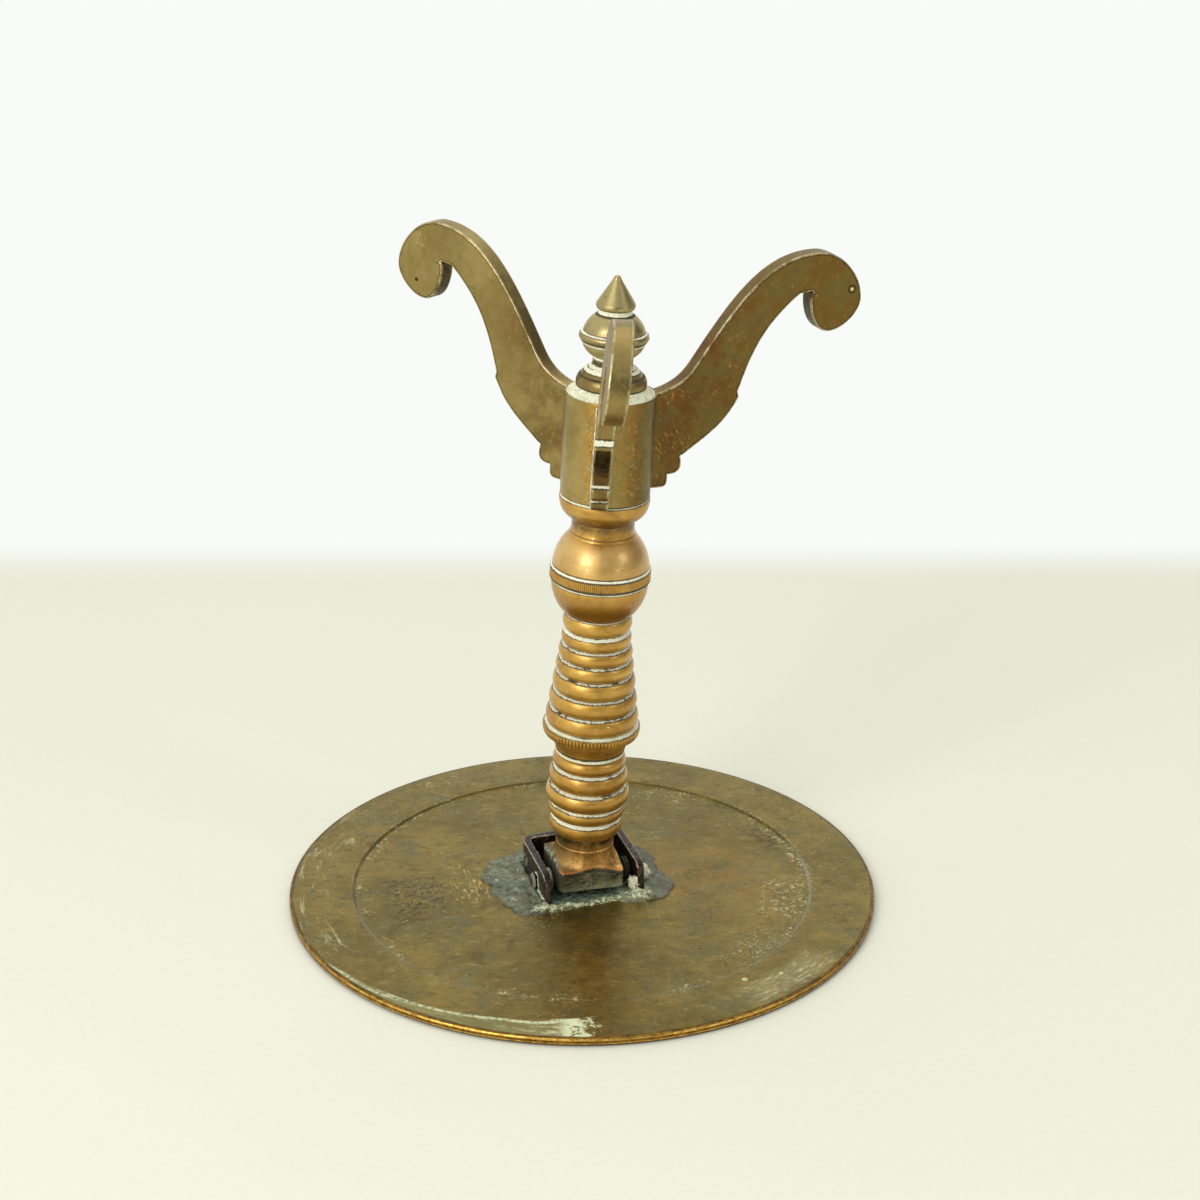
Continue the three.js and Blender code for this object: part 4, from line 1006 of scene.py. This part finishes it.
def leg_outline():
    def on(inwards, down):
        """A place on the scroll, as shares of its length and height."""
        return LEG_REACH - inwards * SCROLL_LENGTH, LEG_CROWN - down * SCROLL_HEIGHT

    def soft(a, b, c):
        return bezier(a, np.array(a) / 3 + np.array(b) * 2 / 3, np.array(c) / 3 + np.array(b) * 2 / 3, c, 8)

    line = [(LEG_SEAT, ROOT_FOOT), at(0.07, 0)]
    line += soft(line[-1], at(0.1, 0.003), at(0.096, 0.037))
    line += [at(0.0975, 0.054), at(0.1, 0.057), at(0.112, 0.057)]
    line += soft(line[-1], at(0.164, 0.061), at(0.16, 0.104))
    line += [at(0.156, 0.134), at(0.159, 0.138), at(0.168, 0.142)]
    line += bezier(line[-1], at(0.338, 0.256), at(0.362, 0.278), at(0.42, 0.375))
    line += [at(0.4235, 0.384), at(0.42, 0.395), at(0.417, 0.407)]
    line += bezier(line[-1], at(0.476, 0.594), at(0.525, 0.697), on(1.262, 0.5), 26)
    line += [(LEG_REACH - SCROLL_LENGTH - 0.25, LEG_CROWN - BAND_WIDTH + 0.02),
             (LEG_REACH - SCROLL_LENGTH, LEG_CROWN - BAND_WIDTH - 0.2)]
    line += bezier(line[-1], on(1.086, 0.468), on(1.048, 1), on(0.624, 1), 24)
    line += bezier(line[-1], on(0.327, 1), on(0, 0.784), on(0, 0.615))
    line += bezier(line[-1], on(0, 0.311), on(0.479, 0), on(0.887, 0), 22)
    line += bezier(line[-1], at(0.521, 1), at(0.383, 0.803), at(0.205, 0.545), 30)
    line += bezier(line[-1], at(0.164, 0.483), at(0.112, 0.443), (LEG_SEAT, ROOT_TOP), 12)
    return line


# Where the scroll's inner curve starts in the outline, and the two inner corners of the ogee steps
HOOK_START = 73
LEG_NOOKS = [at(0.0975, 0.05), at(0.156, 0.13)]


def inset(line, distance):
    """The closed outline moved inwards, with sharp corners held back."""
    points = np.array(line)
    before, after = np.roll(points, 1, axis=0), np.roll(points, -1, axis=0)

    def unit(v):
        return v / np.maximum(np.linalg.norm(v, axis=1, keepdims=True), 1e-9)

    d0, d1 = unit(points - before), unit(after - points)
    n0 = np.stack([-d0[:, 1], d0[:, 0]], axis=1)
    n1 = np.stack([-d1[:, 1], d1[:, 0]], axis=1)
    normal = unit(n0 + n1)
    stretch = 1 / np.maximum((normal * n0).sum(axis=1, keepdims=True), 0.7)
    return points + normal * distance * stretch


def lean_front(p):
    """The front leg's sideways lean and its longer scroll."""
    blend = clamp((p.x - 12) / 43)
    blend *= blend * (3 - 2 * blend)
    y = p.y - 1.7 + 0.015 * (p.z - 129) * (1 - blend) + 0.075 * (p.z - 161) * blend
    drop = clamp((p.x - 44) / 8)
    return Vector((p.x, y, p.z - 0.07 * drop * (LEG_CROWN - p.z)))


def make_leg(name, azimuth):
    front = name == "leg_front"
    outline = leg_outline()
    count = len(outline)
    half = ROOT_THICKNESS / 2
    hook = range(HOOK_START, HOOK_START + 24)
    rings, edge, grime_and_shade, groove = [], [], [], []
    # Each level: inset, half thickness, a painted highlight on the bevel's rings, and how much painted shade
    # the side wall takes where hidden
    levels = [(EDGE_BREAK + 0.3, half, 0.0, 0.0)]
    levels += [(EDGE_BREAK * (1 - math.sin(a)), half - EDGE_BREAK * (1 - math.cos(a)), 1.0, 0.6)
               for a in np.radians([0, 30, 60, 90])]
    levels += [(0, half - EDGE_BREAK - 0.25, 0.0, 1.0)]
    for side in (1, -1):
        for inwards, y, e, wall in levels if side == 1 else levels[::-1]:
            for i, (x, z) in enumerate(inset(outline, inwards)):
                out = max(0, (x - COLLAR_RADIUS) / (LEG_REACH - COLLAR_RADIUS))
                growth = 1 + (SCROLL_THICKNESS / ROOT_THICKNESS - 1) * out
                p = Vector((x, side * y * growth, z))
                p.y += 0.03 * noise.noise(p * 0.25 + Vector((azimuth, 0, 0)))
                if front:
                    p = lean_front(p)
                rings.append(p)
                edge.append(e)
                # Painted shade on the side faces inside the scroll's hook and on the front leg's web
                hidden = i in hook or (front and 129.3 < z < 139.6 and i < HOOK_START)
                grime_and_shade.append(wall if hidden else 0)
                nook = min(math.hypot(outline[i][0] - nx, outline[i][1] - nz) for nx, nz in LEG_NOOKS)
                patch = abs(z - 141.3) / 0.8 if front and i < HOOK_START else FAR
                groove.append(min(nook / 0.6, patch) if wall and front else (nook / 0.5 if wall else FAR))
    faces = grid_faces(len(rings) // count, count)
    flat = inset(outline, levels[0][0])
    triangles = tessellate_polygon([[Vector((x, z, 0)) for x, z in flat]])
    last = len(rings) - count
    faces += [tuple(t) for t in triangles] + [tuple(last + i for i in reversed(t)) for t in triangles]
    turn = STAND @ Matrix.Rotation(math.radians(azimuth - 90), 4, "Z")
    piece = add_piece(name + "_fine", rings, faces, "leg_brass", "stand", turn, [name],
                      values={"edge": edge, "grime_and_shade": grime_and_shade, "groove": groove, "flank": np.ones(len(rings)),
                              "shade_tone": np.full(len(rings), LEG_SHADE_TONES[name])})
    piece.modifiers.new("weighted", "WEIGHTED_NORMAL").keep_sharp = True
    for side in (1, -1):
        path = []
        for z in np.linspace(ROOT_FOOT - 0.6, ROOT_TOP + 0.5, 60):
            y = side * (half + 0.05) + (lean_front(Vector((COLLAR_RADIUS, 0, z))).y if front else 0)
            x = math.sqrt(11.6 ** 2 - y * y) - 0.02
            path.append((x + 0.1 * noise.noise((z * 0.5, side, azimuth)), y, z))
        wide = front and side > 0
        tube(f"{name}_seam_{'a' if side > 0 else 'b'}", path, 0.36 if wide else 0.2, "stand", "leg_brass",
             turn, VERDIGRIS if wide else RESIDUE, ragged=1.1, seed=azimuth + side)


def make_finial():
    profile = [(BORE, 142.62), (7.8, 142.62), (8.5, 143.4), (8.8, 144.3), (8.95, 145.4), (8.92, 146.3),
               (8.65, 147.1), (8.25, 147.65), (8.0, 147.72), (7.85, 147.9), (7.35, 148.5), (6.7, 149.15),
               (6.0, 149.75), (5.45, 150.15), (5.1, 150.5), (4.95, 150.8), (BORE, 150.8)]
    # A little painted shade on the finial's base
    lathe("finial_base_fine", profile, 160, "leg_brass",
          [(6.6, 149.2, 0.62), (5.6, 150.05, 0.6), (8.75, 144.6, 0.3)], nodes=["finial_base"],
          dirt_and_shade=[(8.05, 147.7, 0.35), (8.9, 145.05, 0.2)], shade_tone=lambda turn: 0.45)

    centre = 156.7
    profile = [(BORE, 150.72), (4.9, 150.74), (5.0, 150.9), (5.0, 151.65), (5.05, 152.2),
               (5.2, 152.6), (5.6, 152.85)]
    profile += arc(0, centre, 7.95, 5.5, -43, -7, 16)
    profile += [(8.1, 156.3), (8.45, 156.75), (8.75, 157.3), (8.78, 157.7), (8.6, 158.2),
                (8.3, 158.6), (7.85, 158.72)]
    profile += arc(0, 157.4, 7.95, 7.1, 11, 58, 20)
    profile += [(4.05, 163.9), (4.1, 164.3)] + arc(3.75, 165.45, 1.2, 1.2, -75, 32, 12)
    profile += [(0.95, 172.1)] + arc(0, 171.7, 1.05, 1.2, 30, 89, 8) + [(0.01, 172.9)]
    # Slight painted shade on the finial
    lathe("finial_fine", profile, FINIAL_TEETH * 8, "leg_brass",
          [(5.05, 152.3, 0.36), (7.95, 156.05, 0.24), (8.05, 158.72, 0.34), (4.1, 164.0, 0.7)],
          [(156.75, 157.85, FINIAL_TEETH, 0.3)], ["finial"], 0.25,
          dirt_and_shade=[(5.0, 151.1, 0.5), (8.5, 156.85, 0.25), (4.5, 163.2, 0.5)], shade_tone=lambda turn: 0.1)


make_disc()
make_bracket()
make_pin()
make_solder()
make_foot()
make_stem()
make_collar()
for leg_name, leg_azimuth in LEG_AZIMUTHS.items():
    make_leg(leg_name, leg_azimuth)
make_finial()

blob("solder_lump", (16.4, -3.2, 3.3), (1.9, 2.2, 2.3), 0.35)
blob("ear_crust", (12.0, -8.7, 3.0), (1.2, 2.2, 2.7), 0.6)
ring = [(EAR_LEFT - 0.05, PIN.y + 2.7 * math.sin(a), PIN.z + 2.7 * math.cos(a))
        for a in np.linspace(2.6, 6.4, 40)]
tube("pin_residue", ring, 0.26, "reflector", "soft_solder", None, VERDIGRIS, ragged=0.9)

ear_run = [(EAR_LEFT - 0.12 + 0.1 * math.sin(2 * k), PIN.y - 2.2 - 0.55 * k, 3.6 - 0.04 * k)
           for k in range(12)]
tube("ear_residue", ear_run, 0.38, "reflector", "soft_solder", None, VERDIGRIS, ragged=0.9, seed=3.0)

for node_name, material in (("hinge_washer_left", VERDIGRIS), ("hinge_washer_right", DARK_VERDIGRIS),
                            ("tie_rod", MATERIALS["dark_iron"])):
    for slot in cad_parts[node_name].material_slots:
        slot.material = material


# Floor, light and camera

def floor_material():
    """Pale floor that fades into white behind the object."""
    s = Shader("floor")
    x, y, z = s.axes(s.place)
    turn = math.radians(PHOTO_TURN)
    depth = x * math.sin(turn) + y * math.cos(turn)
    pale = s.mix(s.noise(1.3, 3), (231, 229, 212), (237, 235, 219))
    s.set(Base_Color=pale, Roughness=0.9, Specular_IOR_Level=0.1)
    white = s.node("Emission", {"Color": (0.94, 0.965, 0.94, 1)})
    linen = Value(s, s.bsdf.outputs[0])
    fade = s.node("MixShader", {0: s.span(depth, FADE_START, FADE_END), 1: linen, 2: white})
    s.put(s.nodes["Material Output"].inputs["Surface"], fade)
    return s.material


def make_floor():
    mesh = bpy.data.meshes.new("floor")
    mesh.from_pydata([(-3, -3, 0), (3, -3, 0), (3, 3, 0), (-3, 3, 0)], [], [(0, 1, 2, 3)])
    mesh.materials.append(floor_material())
    floor = bpy.data.objects.new("floor", mesh)
    floor.location.z = -0.0002
    bpy.context.scene.collection.objects.link(floor)


def make_world():
    """A white backdrop behind the object, which metal shows too, and a room that is bright on the left and
    above, and dim on the right and in front. The camera sees white everywhere."""
    world = bpy.data.worlds.new("studio")
    bpy.context.scene.world = world
    w = Tree(world)
    x, y, z = w.axes(w.node("TexCoord", output="Generated"))
    side = w.span(x, -0.85, 0.45, ROOM_LEFT, ROOM_RIGHT)
    room = w.span(z, 0.4, 0.95, w.span(y, -0.95, -0.35, ROOM_FRONT, side), ROOM_ABOVE)
    behind = w.span(y, 0.15, 0.75)
    room = w.span(behind, 0, 1, room, 1)
    glossy, through, camera = [w.node("LightPath", output=f"Is {kind} Ray")
                               for kind in ("Glossy", "Transmission", "Camera")]
    white = w.most(camera, w.most(glossy, through) * behind)
    background = w.nodes["Background"].inputs
    w.put(background["Strength"], w.span(white, 0, 1, room, 1))
    w.put(background["Color"], (0.94, 0.975, 0.94, 1))


def soft_light(name, place, target_height, size, power):
    """A square lamp that points at a height on the object's axis."""
    light = bpy.data.lights.new(name, "AREA")
    light.shape = "RECTANGLE"
    light.size = light.size_y = size
    light.energy = power
    lamp = bpy.data.objects.new(name, light)
    lamp.location = place
    lamp.rotation_mode = "QUATERNION"
    lamp.rotation_quaternion = (Vector((0, 0, target_height)) - Vector(place)).to_track_quat("-Z", "Y")
    bpy.context.scene.collection.objects.link(lamp)


def make_camera():
    """The camera solved from the photograph: place, yaw, pitch and roll."""
    yaw, pitch, roll = map(math.radians, (CAMERA_YAW, CAMERA_PITCH, CAMERA_ROLL))
    forward = Vector((math.sin(yaw) * math.cos(pitch), math.cos(yaw) * math.cos(pitch), -math.sin(pitch)))
    right = forward.cross(Vector((0, 0, 1))).normalized()
    up = right.cross(forward)
    rolled_right = right * math.cos(roll) + up * math.sin(roll)
    rolled_up = up * math.cos(roll) - right * math.sin(roll)
    data = bpy.data.cameras.new("camera")
    data.lens, data.sensor_width = CAMERA_LENS, FILM_WIDTH
    data.clip_start = 0.01
    camera = bpy.data.objects.new("camera", data)
    basis = Matrix((rolled_right, rolled_up, -forward)).transposed()
    camera.matrix_world = Matrix.Translation(Vector(CAMERA_PLACE) * MM) @ basis.to_4x4()
    bpy.context.scene.collection.objects.link(camera)
    bpy.context.scene.camera = camera


make_floor()
make_world()
soft_light("key", (-0.79, -0.58, 0.65), 0.08, 0.5, 4.6)
soft_light("fill", (0.62, -0.62, 0.53), 0.08, 0.3, 0.9)
soft_light("glint_left", (-0.91, -0.77, 0.22), 0.1, 0.1, 0.7)
soft_light("glint_right", (0.44, -1.11, 0.2), 0.1, 0.08, 0.45)
soft_light("top", (0.1, 0.25, 1.1), 0.05, 0.9, 1.7)
make_camera()
bpy.context.scene.view_settings.view_transform = "Standard"

bpy.context.view_layer.update()
